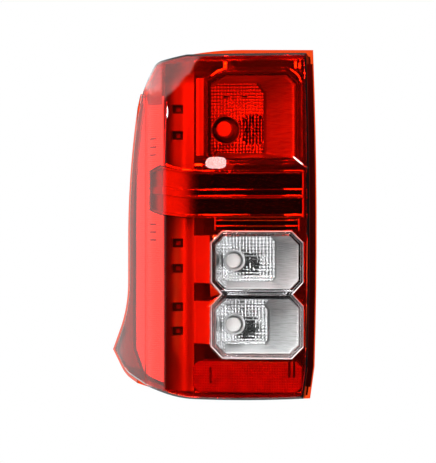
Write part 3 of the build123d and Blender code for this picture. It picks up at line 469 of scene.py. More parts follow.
def dressed(node, name, material, bevel=0.4, segments=2, crease=32.0):
    """Copy of a solid with its loose triangles merged, flat areas joined and sharp edges eased."""
    mesh = nodes[node].data.copy()
    mesh.name = name
    if "custom_normal" in mesh.attributes:
        mesh.attributes.remove(mesh.attributes["custom_normal"])
    b = bmesh.new()
    b.from_mesh(mesh)
    bmesh.ops.remove_doubles(b, verts=b.verts, dist=WELD)
    bmesh.ops.dissolve_limit(b, angle_limit=FLAT, verts=b.verts, edges=b.edges)
    b.to_mesh(mesh)
    b.free()
    obj = settle(name, mesh, material, (node,))
    eased = obj.modifiers.new("eased_edges", "BEVEL")
    eased.limit_method = "ANGLE"
    eased.angle_limit = math.radians(crease)
    eased.width = bevel * MM
    eased.segments = segments
    eased.use_clamp_overlap = True
    even = obj.modifiers.new("even_shading", "WEIGHTED_NORMAL")
    even.keep_sharp = True
    even.weight = 60


def steps(count):
    """Even steps from 0 to 1."""
    return np.linspace(0.0, 1.0, count)


def ease(value):
    """Smooth step from 0 to 1."""
    value = np.clip(value, 0.0, 1.0)
    return value * value * (3 - 2 * value)


def skin_y(x, depth):
    """Y of the lens skin set back by a depth, from X: each arc is its centre less the root of r2 - dx2."""
    def arc(center, radius):
        return center[1] - np.sqrt(np.maximum(radius ** 2 - (x - center[0]) ** 2, 0.0))

    corner = CORNER_R - depth
    start = CORNER_C[0] + corner * math.sin(TURN_CORNER)
    end = CORNER_C[0] + corner * math.sin(TURN_SIDE)
    wrapped = np.where(x > end, arc(CORNER_C, corner), arc(SIDE_C, SIDE_R - depth))
    return np.where(x > start, arc(FACE_C, FACE_R - depth), wrapped)


def octagon(box, cuts):
    """Corners of a rectangle with its corners cut, from low left anticlockwise."""
    left, right, low, high = box
    (ax, az), (bx, bz), (cx, cz), (dx, dz) = cuts
    corners = [(left, low + az), (left + ax, low), (right - bx, low), (right, low + bz)]
    return np.array(corners + [(right, high - cz), (right - cx, high), (left + dx, high), (left, high - dz)])


def inside(points, x, z, margin):
    """True where (x, z) lies inside an anticlockwise convex polygon, at least a margin from its sides."""
    sides = np.roll(points, -1, 0) - points
    lengths = np.hypot(sides[:, 0], sides[:, 1])
    off_x, off_z = x.ravel() - points[:, 0, None], z.ravel() - points[:, 1, None]
    across = sides[:, 0, None] * off_z - sides[:, 1, None] * off_x
    return (across / lengths[:, None] >= margin).all(0).reshape(x.shape)


def cells(low, high, counts, fine):
    """X and Z of a grid over a box, and the place across and along its cell of every point, -1 to 1."""
    x, z = np.meshgrid(*(np.linspace(low[k], high[k], counts[k] * fine + 1) for k in (0, 1)))
    a = 2 * np.mod((x - low[0]) / ((high[0] - low[0]) / counts[0]), 1.0) - 1
    b = 2 * np.mod((z - low[1]) / ((high[1] - low[1]) / counts[1]), 1.0) - 1
    return x, z, a, b


def cell_centres(grid):
    """Mean of the four corners of every cell."""
    return (grid[:-1, :-1] + grid[1:, :-1] + grid[:-1, 1:] + grid[1:, 1:]) / 4


def clear_of(slots, half, x, z):
    """True where (x, z) lies in none of the slots of one half size."""
    return np.all([(np.abs(x - at[0]) > half[0]) | (np.abs(z - at[1]) > half[1]) for at in slots], axis=0)


def turned(spots, profile, sides, lobes=None):
    """Rings of (radius, y) carried round the Y axis of each spot; lobes waves the radius of some rings."""
    profile = np.asarray(profile, float)
    angle = np.arange(sides) * 2 * np.pi / sides
    radius = profile[:, 0, None] * np.ones(sides)
    if lobes is not None:
        count, share = lobes
        radius = radius * (1 + np.asarray(share)[:, None] * np.cos(count * angle))
    grid = (radius * np.cos(angle), profile[:, 1, None], radius * np.sin(angle))
    ring, faces = patch(grid, close=True)
    points = ring[None] + np.insert(np.asarray(spots, float), 1, 0.0, axis=1)[:, None]
    every = faces[None] + (np.arange(len(spots)) * len(ring))[:, None, None]
    return points.reshape(-1, 3), every.reshape(-1, 4)


def join(*parts):
    """Points and faces of several surfaces in one list."""
    starts = np.cumsum([0] + [len(points) for points, _ in parts[:-1]])
    points = np.concatenate([points for points, _ in parts])
    faces = [f for (_, faces), start in zip(parts, starts) for f in (np.asarray(faces) + start)]
    return points, faces


# Solids that keep their shape, with eased edges
dressed("outer_lens", "red_lens", RED_LENS, bevel=0.7, segments=3, crease=26.0)
dressed("clear_window", "clear_window_lens", CLEAR_LENS, bevel=0.5)
dressed("rear_housing", "back_tub", BLACK, bevel=0.35)
dressed("inner_bezel", "chamber_bezel", BEZEL_SILVER, bevel=0.5)
dressed("stop_reflector", "stop_bowl", SILVER, bevel=0.3)
dressed("twin_reflector", "twin_bowl", SILVER, bevel=0.3)
dressed("side_light_guide", "side_strip", MILKY, bevel=0.3)
dressed("reflex_reflector", "reflex_panel", PRISM, bevel=0.3)
dressed("led_board", "strip_board", SOLDER_MASK, bevel=0.1, segments=1)
dressed("led_chips", "strip_emitters", EMITTER, bevel=0.25)
for chamber in ("stop", "reverse", "signal"):
    dressed(chamber + "_bulb_holder", chamber + "_holder", GREY)
dressed("holder_terminals", "terminal_blades", BRASS, bevel=0.15, segments=1)
dressed("bolt_bushes", "steel_sleeves", ZINC, bevel=0.3)

# Bowls: pillow optics, fluted end walls and rolled bulb holes
MOUTH_Y, BOWL_Y, BOWL_WALL = -86.0, -38.0, 2.0
PORTS = {"stop": (-104.0, 118.0), "reverse": (-93.0, -43.0), "signal": (-93.0, -121.5)}


def by_chamber(stop, window):
    """A value for the stop chamber and one for the two window chambers."""
    return {"stop": stop, "reverse": window, "signal": window}


BULB_HOLE_R = by_chamber(17.2, 12.2)
HOLE_LIP, HOLE_LIP_HIGH = by_chamber((17.5, 1.3), (11.7, 2.0)), 1.6
TWIN_MOUTH_CUT, TWIN_BACK_CUT = ((13.0, 13.0),) * 4, ((6.0, 6.0),) * 4
BOWLS = {
    "stop": (
        octagon((-118.8, -12.8, 79.4, 183.6), ((7.0, 6.0), (3.0, 3.0), (12.0, 12.0), (20.0, 10.0))),
        octagon(STOP_BACK, ((7.0, 6.0), (3.0, 3.0), (10.0, 14.0), (9.0, 5.0))),
    ),
    "reverse": (
        octagon((-112.6, -7.0, -79.0, -10.0), TWIN_MOUTH_CUT),
        octagon((-109.5, -41.0, -71.0, -12.0), TWIN_BACK_CUT),
    ),
    "signal": (
        octagon((-112.6, -7.0, -156.8, -87.6), TWIN_MOUTH_CUT),
        octagon((-111.0, -50.0, -148.5, -96.0), TWIN_BACK_CUT),
    ),
}

# Pillow optics: the point they face, the flat radius and the run round it, the least and most swell across,
# the swell along near that point, above and below it, the lean per millimetre and its limit, and the tilt
AIM_AT = {"stop": (-68.0, 118.0), "reverse": (-77.0, -48.0), "signal": (-78.0, -126.0)}
AIM_FLAT = by_chamber((18.0, 6.0), (9.0, 12.0))
FLANK = by_chamber((0.26, 0.62), (0.12, 0.3))
BULGE = by_chamber((0.1, 0.62, 0.5), (0.1, 0.42, 0.36))
AIM = by_chamber((0.001, 0.0, 0.05), (0.003, -0.006, 0.14))
TILT, TILT_SEED = by_chamber(0.018, 0.04), 5
PILLOW_LIFT, EDGE_ROOM, HOLE_ROOM = 1.6, 0.2, 0.6

# Two slots in the stop chamber's pillows, and the coated sheets on the walls
STOP_SLOTS, SLOT_HALF, SLOT_LIFT = ((-103.3, 159.0), (-80.1, 159.0)), (3.25, 1.25), 2.1
SLOT_BAR = octagon((-2.9, 2.9, -1.05, 1.05), ((0.3, 0.3),) * 4)
WALL_PITCH, WALL_WAVE, WALL_LIFT, FLUTED_WALLS = 2.2, 0.45, 0.35, (2, 3, 4)


def pillow_plate(name, back):
    """Sheet of square pillows, flank * (1 - a2) + bulge * (1 - b2).

    Flank, bulge and lean grow with the distance from a point, and every pillow has a slight tilt of its own.
    """
    (thin, thick), (near, above, below), (flat, run) = FLANK[name], BULGE[name], AIM_FLAT[name]
    aim_x, aim_z, most = AIM[name]
    low, high = back.min(0), back.max(0)
    counts = ((high - low) / PILLOW).astype(int)
    pitch = (high - low) / counts
    x, z, a, b = cells(low, high, counts, PILLOW_STEPS)
    off_x = x - a * pitch[0] / 2 - AIM_AT[name][0]
    off_z = z - b * pitch[1] / 2 - AIM_AT[name][1]
    share = ease((np.hypot(off_x, off_z) - flat) / run)
    flank = thin + (thick - thin) * share
    bulge = near + (np.where(off_z > 0, above, below) - near) * share
    column = np.clip(((x - low[0]) / pitch[0]).astype(int), 0, counts[0] - 1)
    row = np.clip(((z - low[1]) / pitch[1]).astype(int), 0, counts[1] - 1)
    drawn = np.random.default_rng(TILT_SEED).uniform(-1.0, 1.0, (2, counts[1], counts[0]))
    tilt = TILT[name] * drawn[:, row, column]
    lean_x = np.clip(aim_x * off_x, -most, most) + tilt[0]
    lean_z = np.clip(aim_z * off_z, -most, most) + tilt[1]
    swell = flank * (1 - a ** 2) + bulge * (1 - b ** 2)
    y = BOWL_Y - PILLOW_LIFT - swell - (lean_x * a * pitch[0] + lean_z * b * pitch[1]) / 2
    cx, cz = cell_centres(x), cell_centres(z)
    keep = inside(back, cx, cz, BOWL_WALL + EDGE_ROOM)
    keep &= np.hypot(cx - PORTS[name][0], cz - PORTS[name][1]) > BULB_HOLE_R[name] + HOLE_ROOM
    keep &= clear_of(STOP_SLOTS, SLOT_HALF, cx, cz)
    # The stop chamber's pillows take the coating with painted shade in its valleys.
    coating = STOP_SILVER_PAINTED_SHADE if name == "stop" else PILLOW_SILVER
    sheet(name + "_pillows", (x, y, z), coating, 0.4, keep=keep)


def stop_slots():
    """Two dark slots in the stop chamber's pillows: short bars with cut corners."""
    corners = np.concatenate([SLOT_BAR + slot for slot in STOP_SLOTS])
    points = np.insert(corners, 1, BOWL_Y - SLOT_LIFT, axis=1)
    faces = np.arange(len(corners)).reshape(len(STOP_SLOTS), -1)
    thicken(piece("stop_slots", points, faces, SLIT, "black_plastic"), 0.4)


def coated_wall(name, mouth, back, corner, depth, material):
    """Coated sheet on a wall: straight lines from the mouth to the back, in waves of a depth across them."""
    ends = [corner, (corner + 1) % 8]
    front = np.insert(mouth[ends], 1, MOUTH_Y, axis=1)
    rear = np.insert(back[ends], 1, BOWL_Y, axis=1)
    count = max(int(np.linalg.norm(front[1] - front[0]) / WALL_PITCH), 2)
    v = np.linspace(0.01, 0.99, count * 8 + 1)[:, None, None]
    u = np.linspace(0.03, 0.985, 9)[None, :, None]
    outer = front[0] * (1 - v) + front[1] * v
    inner = rear[0] * (1 - v) + rear[1] * v
    across = np.cross(rear[0] - front[0], front[1] - front[0])
    across = across / np.linalg.norm(across)
    middle = np.insert((mouth.mean(0) + back.mean(0)) / 2, 1, (MOUTH_Y + BOWL_Y) / 2)
    across = across * np.sign(across @ (middle - front[0]))
    wave = np.abs(np.sin(np.pi * count * v))
    points = outer * (1 - u) + inner * u + across * (BOWL_WALL + WALL_LIFT + depth * wave)
    sheet(f"{name}_wall_{corner}", np.moveaxis(points, -1, 0), material, 0.2)


def rolled_hole(name):
    """Rolled lip of the bulb hole: a small ring section carried round the port."""
    turn = np.arange(13) * 2 * np.pi / 12
    middle, half = HOLE_LIP[name]
    y = BOWL_Y - HOLE_LIP_HIGH / 2 + HOLE_LIP_HIGH * np.sin(turn)
    section = np.stack([middle + half * np.cos(turn), y], -1)
    coating = SILVER if name == "stop" else SATIN_SILVER
    piece(name + "_hole_lip", *turned([PORTS[name]], section, 72), coating, "silvered")


for chamber, (mouth, back) in BOWLS.items():
    is_stop = chamber == "stop"
    pillow_plate(chamber, back)
    for corner in range(1, 7 if is_stop else 5):
        # In the stop chamber the walls and floor take darker coatings as painted shade.
        coating = PEARL
        if is_stop:
            coating = SATIN_DARK if corner == 1 else PEARL_DARK
        coated_wall(chamber, mouth, back, corner, WALL_WAVE * (corner in FLUTED_WALLS), coating)
    rolled_hole(chamber)

stop_slots()

# Frames round the chamber mouths
EIGHT = np.array([
    (-3.6, -146.2), (-3.6, -96.6), (-16.2, -82.6), (-3.6, -68.6), (-3.6, -20.6), (-17.6, -6.6),
    (-102.0, -6.6), (-116.0, -20.6), (-116.0, -68.6), (-103.4, -82.6), (-116.0, -96.6), (-116.0, -146.2),
    (-102.0, -160.2), (-17.6, -160.2),
])
BEAD_DEEP = 1.2


def drawn_in(points, inset):
    """Corners of an anticlockwise polygon whose sides are all moved inward by insets: one ring per inset."""
    before, after = points - np.roll(points, 1, 0), np.roll(points, -1, 0) - points
    u = before / np.hypot(*before.T)[:, None]
    v = after / np.hypot(*after.T)[:, None]
    reach = 1 / (1 + (u * v).sum(1))
    step = np.stack([-(u + v)[:, 1] * reach, (u + v)[:, 0] * reach], -1)
    return points[None] + np.asarray(inset)[:, None, None] * step[None]


def mouth_frame(name, points, profile, material):
    """Beaded frame: a profile of (inset, set-back) carried round a cut-cornered outline on the lens curve."""
    profile = np.asarray(profile)
    rings = drawn_in(points, profile[:, 0])
    share = steps(13)[:-1, None]
    rings = rings[:, :, None] * (1 - share) + np.roll(rings, -1, 1)[:, :, None] * share
    rings = rings.reshape(len(profile), -1, 2)
    y = skin_y(rings[..., 0], profile[:, 1, None])
    piece(name, *patch((rings[..., 0], y, rings[..., 1]), close=True), material, "silvered")


def beads(start, widths, deep, high):
    """Profile of half-round beads side by side, closed behind; a width below nought is a flat."""
    turn = np.linspace(0.0, np.pi, 9)
    rows, left = [(start, deep + BEAD_DEEP)], start
    for width in widths:
        rise = high if width > 0 else 0.0
        rows += [(left + abs(width) * (1 - math.cos(t)) / 2, deep - rise * math.sin(t)) for t in turn]
        left += abs(width)
    return rows + [(left, deep + BEAD_DEEP), (start, deep + BEAD_DEEP)]


mouth_frame("window_frame", EIGHT, beads(1.4, (-2.0, 0.7, -1.6, 0.8), 12.0, 0.5), FRAME_SILVER)
mouth_frame("window_bead", EIGHT, beads(0.3, (1.1,), 11.6, 0.6), SATIN_SILVER)
STOP_MOUTH = BOWLS["stop"][0]
mouth_frame("stop_frame", drawn_in(STOP_MOUTH, [-6.2])[0], beads(0.2, (0.9,), 13.6, 0.5), TRIM_DARK)
mouth_frame("stop_inner_frame", drawn_in(STOP_MOUTH, [-2.3])[0], beads(0.0, (1.0,), 13.6, 0.6), TRIM_DARK)

# Lips, ramps and ledges behind the lens: a lean, a turn to either side, paths in X and Z and set-backs
LEAN = math.tan(math.radians(20.0))
TURN_LEFT, TURN_RIGHT = math.radians(-4.4), math.radians(2.5)
FOOT_X, FOOT_MIDDLE, FOOT_SET = (-173.0, -170.0, -161.0, -150.0, -142.0, -140.0), -155.0, 8.6
FOOT_LOW, FOOT_TALL = (71.7, 71.0, 69.1, 66.8, 66.8, 66.8), (1.6, 4.6, 3.0, 1.8, 1.2, 0.6)
STOP_LIP_LEFT = ((-115.4, 180.1), (-110.3, 184.3), (-106.0, 186.8), (-101.8, 187.9), (-97.5, 188.5))
STOP_LIP_RIGHT = ((-21.0, 188.2), (-15.9, 184.8), (-10.8, 180.6), (-8.2, 176.4), (-6.9, 170.8))
WAIST_LIP = ((-119.5, -98.0), (-114.5, -92.6), (-108.6, -87.0))
WAIST_EDGE, WAIST_CORNER, WAIST_SET = ((-117.4, -70.6), (-105.0, -82.4)), (-117.4, -86.5), (14.0, 23.0)
CREASE_X, CREASE_Z, CREASE_SET = (-172.6, -169.6), (72.0, 150.0), 5.6
CREASE_HALF, CREASE_HIGH = 0.7, 0.8


def ramps(name, spots, turn):
    """Leaning facets behind the lens: each steps back by its rise times the tangent of the lean."""
    u, v = np.meshgrid(steps(9), steps(5))
    facets = []
    for left, right, low, high, depth in spots:
        x = left + (right - left) * u
        middle = (left + right) / 2
        y = skin_y(np.full_like(x, middle), depth) + math.tan(turn) * (x - middle) + LEAN * (high - low) * v
        facets.append(patch((x, y, low + (high - low) * v)))
    thicken(piece(name, *join(*facets), SILVER, "silvered"), 0.4)


def trough_foot(turn):
    """Lip at the foot of the upper trough: a ribbon along a sagging line, leaning back."""
    x = np.linspace(FOOT_X[0], FOOT_X[-1], 40)[None, :]
    v = steps(5)[:, None]
    low, tall = np.interp(x, FOOT_X, FOOT_LOW), np.interp(x, FOOT_X, FOOT_TALL)
    y = skin_y(np.full_like(x, FOOT_MIDDLE), FOOT_SET) + math.tan(turn) * (x - FOOT_MIDDLE) + LEAN * tall * v
    sheet("trough_foot", (x, y, low + tall * v), SILVER, 0.4)


def corner_lip(name, path, wide, depth, turn):
    """Lip along a path in a plane: Y grows by the tangents of the turn along X and of the lean along Z."""
    path = np.asarray(path)
    t = steps(33)
    x, z = (np.interp(t, steps(len(path)), path[:, axis]) for axis in (0, 1))
    along = np.stack([np.gradient(x), np.gradient(z)], -1)
    along = along / np.hypot(*along.T)[:, None]
    v = np.linspace(-0.5, 0.5, 5)[:, None] * wide * np.sin(np.pi * (0.1 + 0.8 * t))
    x, z = x - v * along[:, 1], z + v * along[:, 0]
    middle = path[:, 0].mean()
    y = skin_y(np.full_like(x, middle), depth) + math.tan(turn) * (x - middle)
    sheet(name, (x, y + LEAN * (z - z.min()), z), SILVER, 2.5)


def waist_facet():
    """Facet in the window's waist: straight lines from the frame's edge to one low corner, falling back."""
    u, v = np.meshgrid(steps(13), steps(9))
    start, end = WAIST_EDGE
    x, z = ((start[k] + (end[k] - start[k]) * u) * (1 - v) + WAIST_CORNER[k] * v for k in (0, 1))
    y = skin_y(x, WAIST_SET[0] * (1 - v) + WAIST_SET[1] * v)
    sheet("waist_facet", (x, y, z), PEARL, 0.4)


def crease_bead():
    """Thin half-round bead up the inboard edge of the strip."""
    z = np.linspace(*CREASE_Z, 40)[:, None]
    u = np.linspace(-1.0, 1.0, 9)[None, :]
    x = np.interp(z, CREASE_Z, CREASE_X) + CREASE_HALF * u
    y = skin_y(x, CREASE_SET) - CREASE_HIGH * np.sqrt(np.maximum(1 - u ** 2, 0.0))
    sheet("crease_bead", (x, y, z), SILVER, 0.3)


def ledge(name, box, depth, ridges, material):
    """Strip along X on the lens curve, with thin half-round ridges at some heights."""
    left, right, low, high = box
    z = np.linspace(low, high, 121)[:, None]
    x = np.linspace(left, right, 70)[None, :]
    rise = sum(np.sqrt(np.maximum(h ** 2 - (z - at) ** 2, 0.0)) for at, h in ridges)
    sheet(name, (x, skin_y(x, depth) - rise, z), material, 0.15)


ramps("top_rib_outboard", ((-100.5, -96.5, 187.5, 199.5, 12.0),), TURN_LEFT)
ramps("top_ribs_inboard", ((-15.0, -12.2, 187.5, 198.5, 12.0), (-9.8, -7.2, 187.5, 196.5, 12.0)), TURN_RIGHT)
ramps("block_foot", ((-136.0, -125.5, 71.5, 75.0, 9.0),), TURN_LEFT)
trough_foot(TURN_LEFT)
corner_lip("stop_lip_outboard", STOP_LIP_LEFT, 1.9, 10.2, TURN_LEFT)
corner_lip("stop_lip_inboard", STOP_LIP_RIGHT, 1.3, 8.0, TURN_RIGHT)
corner_lip("waist_lip", WAIST_LIP, 1.7, 11.0, TURN_LEFT)
waist_facet()
crease_bead()
DIVIDER_RIDGES = ((-78.8, 1.0), (-81.6, 0.5), (-83.4, 0.6))
ledge("window_divider", (-104.0, -15.5, -88.2, -77.0), 12.6, DIVIDER_RIDGES, TRIM_SILVER)
ledge("bar_bead", (-146.0, -4.5, 34.6, 36.6), 8.9, ((35.6, 0.5),), BAR_SILVER)
ledge("recess_shelf", (-112.0, -9.0, -5.8, 8.6), 17.0, ((6.2, 0.45), (-0.6, 0.3)), BAR_SILVER)

# Centre bar: two channels between rounded lips, bent away at its outboard end
BAR_X, BAR_SPLIT = (-192.0, -178.0, -150.0, -3.5), -176.5
BAR_LOW, BAR_HIGH = (18.5, 13.0, 9.5, 9.5), (66.0, 72.5, 66.5, 66.5)
BAR_CHANNELS = ((3.0, 24.0), (33.5, 54.0))
BAR_TALL, BAR_LIP_SET, BAR_SINK, BAR_ROLL = 57.0, 9.0, 5.8, 4.0
BAR_BEND, BEND_FROM, BEND_REACH = 0.0026, -140.0, 34.0


def bar_skin(name, start, stop, columns, material, replaces=()):
    """Front of the bar: a channelled profile, of rounded steps, carried along the lens curve."""
    sides = [0.0, BAR_TALL] + [side for channel in BAR_CHANNELS for side in channel]
    v = np.concatenate([np.linspace(0.0, BAR_TALL, 60)] + [at + np.linspace(-1.2, 1.2, 25) for at in sides])
    v = np.unique(np.clip(v, 0.0, BAR_TALL).round(4))[:, None]
    sink = np.zeros_like(v)
    for low, high in BAR_CHANNELS:
        sink = sink + ease(np.minimum(v - low, high - v) / 0.8 + 0.25)
    edge = 1 - ease(np.minimum(v, BAR_TALL - v) / 0.9 + 0.12)
    x = np.linspace(start, stop, columns)[None, :]
    foot, top = np.interp(x, BAR_X, BAR_LOW), np.interp(x, BAR_X, BAR_HIGH)
    z = foot + (top - foot) * v / BAR_TALL
    bend = BAR_BEND * np.clip(BEND_FROM - x, 0.0, BEND_REACH) ** 2
    y = skin_y(x, BAR_LIP_SET) + BAR_SINK * sink + BAR_ROLL * edge + bend
    sheet(name, (x, y, z), material, 0.5, replaces=replaces)


bar_skin("channelled_bar", BAR_SPLIT, BAR_X[3], 90, BAR_SILVER, ("centre_bar",))
bar_skin("bar_end", BAR_X[0], BAR_SPLIT, 16, SATIN_DARK)

# Bulbs: opal glass with a flattened dome, and a wedge base
BULB_FOOT, BULB_R, BULB_L, BULB_DOME = -25.3, 9.4, 36.0, 3.0
BASE_HALF, BASE_L, BASE_ROUND = (7.5, 3.0), 9.0, 0.7
POLE = 0.001


def bulb(chamber):
    """Turned glass whose dome follows r * (1 - t^4)^(1/4), on a flat base with rounded ends."""
    tip = BULB_FOOT - BULB_L
    t = steps(15)[:-1]
    dome = np.stack([BULB_R * (1 - t ** 4) ** (1 / 4), tip + BULB_DOME * (1 - t)], -1)
    neck = [(POLE, BULB_FOOT), (8.2, BULB_FOOT), (9.0, BULB_FOOT - 1.0), (BULB_R, BULB_FOOT - 3.0)]
    glass = turned([PORTS[chamber]], np.concatenate([neck, dome, [[POLE, tip]]]), 48)
    angle = np.arange(40) * 2 * np.pi / 40
    form = np.stack([np.cos(angle), np.sin(angle)], -1)
    edge = np.sign(form) * np.abs(form) ** 0.35
    size = np.array([POLE, 1.0, 1.0, 0.94, POLE])
    depth = BULB_FOOT + np.array([0.0, 0.0, BASE_L - BASE_ROUND, BASE_L, BASE_L])
    x, z = (PORTS[chamber][k] + BASE_HALF[k] * size[:, None] * edge[:, k] for k in (0, 1))
    base = patch((x, depth[:, None], z), close=True)
    piece(chamber + "_lamp", *join(glass, base), OPAL, "bulb_glass", (chamber + "_bulb",))


for chamber in PORTS:
    bulb(chamber)

# Side strip: fluted skin and dark slits, inside the lens outline with its long arc, flare and tip
GUIDE_SET, GUIDE_TOP, GUIDE_LOW, FLUTE = 7.0, 155.0, -189.0, 2.5
SIDE_LEFT, SIDE_LEFT_Z, SIDE_LEFT_R = -230.2, -17.0, 772.7
FLARE_Z, FLARE_R, RIM_WIDE = -70.0, 131.7, 17.5
TIP_Z, TIP_X = (-208.0, -191.0, -179.6, -159.0, -129.3), (-172.0, -225.3, -242.0, -259.3, -244.3)
NOTCH_Z = (9.6, 11.4, 17.2, 67.4, 73.9, 74.4)
NOTCH_X = (-174.2, -178.8, -193.6, -193.6, -178.8, -174.2)
CUT_Z, CUT_X = (GUIDE_LOW, -180.5, -163.5, -152.5), (-176.0, -198.2, -206.6, -213.1)
SLIT_X, SLIT_Z = (-191.5, -182.5), (105.0, 95.0, 85.5, 1.5, -8.0, -17.5)


def side_edge(z):
    """Outboard X of the lens outline at a height: a long arc, a straight, a flare arc and its tip below."""
    rise = np.clip(z - SIDE_LEFT_Z, 0.0, 200.0)
    fall = np.clip(FLARE_Z - z, 0.0, FLARE_Z - TIP_Z[-1])
    edge = SIDE_LEFT + SIDE_LEFT_R - np.sqrt(SIDE_LEFT_R ** 2 - rise ** 2)
    edge = edge - FLARE_R + np.sqrt(FLARE_R ** 2 - fall ** 2)
    return np.where(z < TIP_Z[-1], np.interp(z, TIP_Z, TIP_X), edge)


def strip_edges(z):
    """Inboard and outboard X of the strip: notched for the bar, cut at the bottom, under the lens rim."""
    cut = np.interp(z, CUT_Z, CUT_X)
    return np.interp(z, NOTCH_Z, NOTCH_X), np.maximum(cut, side_edge(z) + RIM_WIDE)


def strip_skin():
    """Skin of the side strip: the lens curve set back, with a round ridge for every flute of its height."""
    count = int((GUIDE_TOP - GUIDE_LOW) / FLUTE)
    z = np.linspace(GUIDE_LOW, GUIDE_TOP, count * 6 + 1)[:, None]
    inboard, outboard = strip_edges(z)
    x = inboard + (outboard - inboard) * steps(25)[None, :]
    ridge = np.sqrt(np.abs(np.sin(np.pi * (z - GUIDE_LOW) / (GUIDE_TOP - GUIDE_LOW) * count)))
    y = skin_y(x, GUIDE_SET - 0.35 - 0.55 * ridge)
    sheet("strip_flutes", (x, y, z), MILKY, 0.25, "light_guide")


def strip_slits():
    """Short dark slits across the strip: bars with serrated edges."""
    teeth = np.arange(37)
    half = 1.1 + 0.18 * np.sign(np.sin(teeth * np.pi / 2 + 0.3))
    z = np.array(SLIT_Z)[:, None, None] + np.stack([-half, half])[None]
    x = np.broadcast_to(np.linspace(*SLIT_X, len(teeth)), z.shape)
    bars = [patch(bar) for bar in zip(x, skin_y(x, GUIDE_SET - 1.4), z)]
    thicken(piece("strip_slits", *join(*bars), SLIT, "black_plastic"), 0.3)


def liner(name, z, inboard, outboard, depth):
    """Foil beside the strip, set just behind the lens."""
    x = inboard + (outboard - inboard) * steps(20)[None, :]
    sheet(name, (x, skin_y(x, depth), z), LINER, 0.2)


def liners():
    """Foils outboard of the strip and in the corner above it."""
    z = np.linspace(-176.0, 150.0, 120)[:, None]
    outboard = side_edge(z) + np.where(z < TIP_Z[-1], 16.0, 8.6)
    liner("side_liner", z, np.maximum(strip_edges(z)[1] - 4.5, outboard + 0.2), outboard, 3.7)
    z = np.linspace(146.0, 190.0, 30)[:, None]
    outboard = np.interp(z, [146.0, 156.6, 190.0], [-193.0, -196.0, -176.5])
    liner("corner_liner", z, np.full_like(z, -175.0), outboard, 4.6)


strip_skin()
strip_slits()
liners()

# Reflex panel: small square pyramids, left out at three slots
REFLEX_SET, REFLEX_BOX, REFLEX_CUT = 12.0, (-138.0, -6.0, -201.0, -163.5), ((7.0, 7.0),) * 4
PRISMS, PRISM_STEPS, PRISM_HIGH = (44, 12), 4, 0.9
REFLEX_SLOTS, REFLEX_SLOT_HALF = ((-116.0, -180.5), (-20.8, -173.0), (-15.3, -173.0)), (1.5, 9.8)


def reflex_prisms():
    """Prism skin: in each square the height falls off as the larger of |a| and |b|."""
    left, right, low, high = REFLEX_BOX
    x, z, a, b = cells((left, low), (right, high), PRISMS, PRISM_STEPS)
    y = skin_y(x, REFLEX_SET - 0.3 - PRISM_HIGH * (1 - np.maximum(np.abs(a), np.abs(b))))
    cx, cz = cell_centres(x), cell_centres(z)
    keep = inside(octagon(REFLEX_BOX, REFLEX_CUT), cx, cz, 0.4)
    keep &= clear_of(REFLEX_SLOTS, REFLEX_SLOT_HALF, cx, cz)
    sheet("reflex_prisms", (x, y, z), PRISM, 0.15, "red_prism", keep=keep)


reflex_prisms()

# Fixings on the back
BACK_Y, SEAT_Y = -14.0, -12.0
SCREWS = [(-44.0, 38.0), (-126.0, 38.0), (-62.0, 196.0), (-44.0, -182.0), (-125.0, -182.0)]
PINS = [(-189.0, 118.0), (-189.0, -112.0)]
VENTS = [(-122.0, 84.0), (-122.0, -84.0)]
SEAL_R, SEAL_HALF, SEAL_LIP, SEAL_HIGH = 16.3, 2.6, 0.25, 1.2
GASKET_HUBS = ((-38.0, 177.0), (-130.0, 177.0), (-130.0, -189.0), (-38.0, -189.0))
GASKET_CORNER, GASKET_STEPS = 9.0, 12
GASKET_SECTION = np.array([
    (-4.0, 0.0), (4.0, 0.0), (4.0, 3.9), (3.7, 4.7), (3.0, 5.0), (-3.0, 5.0), (-3.7, 4.7), (-4.0, 3.9),
    (-4.0, 0.0),
])


def screw_heads():
    """Pan heads with a washer rim and a lobed drive, on plain shanks."""
    profile = [
        (POLE, -34.0), (1.2, -33.6), (1.6, -32.5), (1.6, -14.0), (4.0, -14.0), (4.0, -13.5), (3.3, -13.3),
        (3.2, -12.3), (2.7, -11.6), (1.9, -11.4), (1.35, -11.4), (1.25, -12.8), (POLE, -12.9),
    ]
    share = [0] * 10 + [0.16, 0.16, 0]
    heads = turned(SCREWS, profile, 36, (6, share))
    piece("housing_screws", *heads, ZINC, "zinc_steel", ("bezel_screws",))


def locating_pins():
    """Push-in pins: ribbed root, flanged collar and a plain shank with a rounded end."""
    profile = [
        (POLE, -37.7), (2.6, -37.6), (2.8, -37.0), (2.8, -30.0), (6.6, -30.0), (7.0, -29.6), (7.0, -28.4),
        (6.6, -28.0), (5.2, -27.6), (5.0, -24.4), (4.6, -24.0), (4.0, -23.9), (4.0, -8.2), (3.7, -7.0),
        (2.9, -6.2), (POLE, -6.0),
    ]
    piece("push_pins", *turned(PINS, profile, 48), NYLON, "white_nylon", ("locating_pins",))


def vent_caps():
    """Rubber caps with a rolled skirt and a domed top."""
    profile = [
        (4.0, -5.0), (4.0, -13.2), (4.6, -13.4), (5.4, -13.2), (5.5, -12.4), (5.1, -11.6), (5.1, -5.2),
        (4.7, -4.1), (3.6, -3.4), (POLE, -3.0), (POLE, -5.0), (4.0, -5.0),
    ]
    piece("vent_caps", *turned(VENTS, profile, 40), RUBBER, "black_rubber", ("breather_caps",))


def port_seals():
    """Seal rings with two sealing lips round their edge."""
    turn = np.linspace(0.0, 2 * np.pi, 25)
    half = SEAL_HALF + SEAL_LIP * np.abs(np.sin(turn))
    section = np.stack([SEAL_R + half * np.cos(turn), SEAT_Y + SEAL_HIGH + SEAL_HIGH * np.sin(turn)], -1)
    rings = turned(list(PORTS.values()), section, 64)
    piece("port_seals", *rings, RUBBER, "black_rubber", ("holder_seals",))


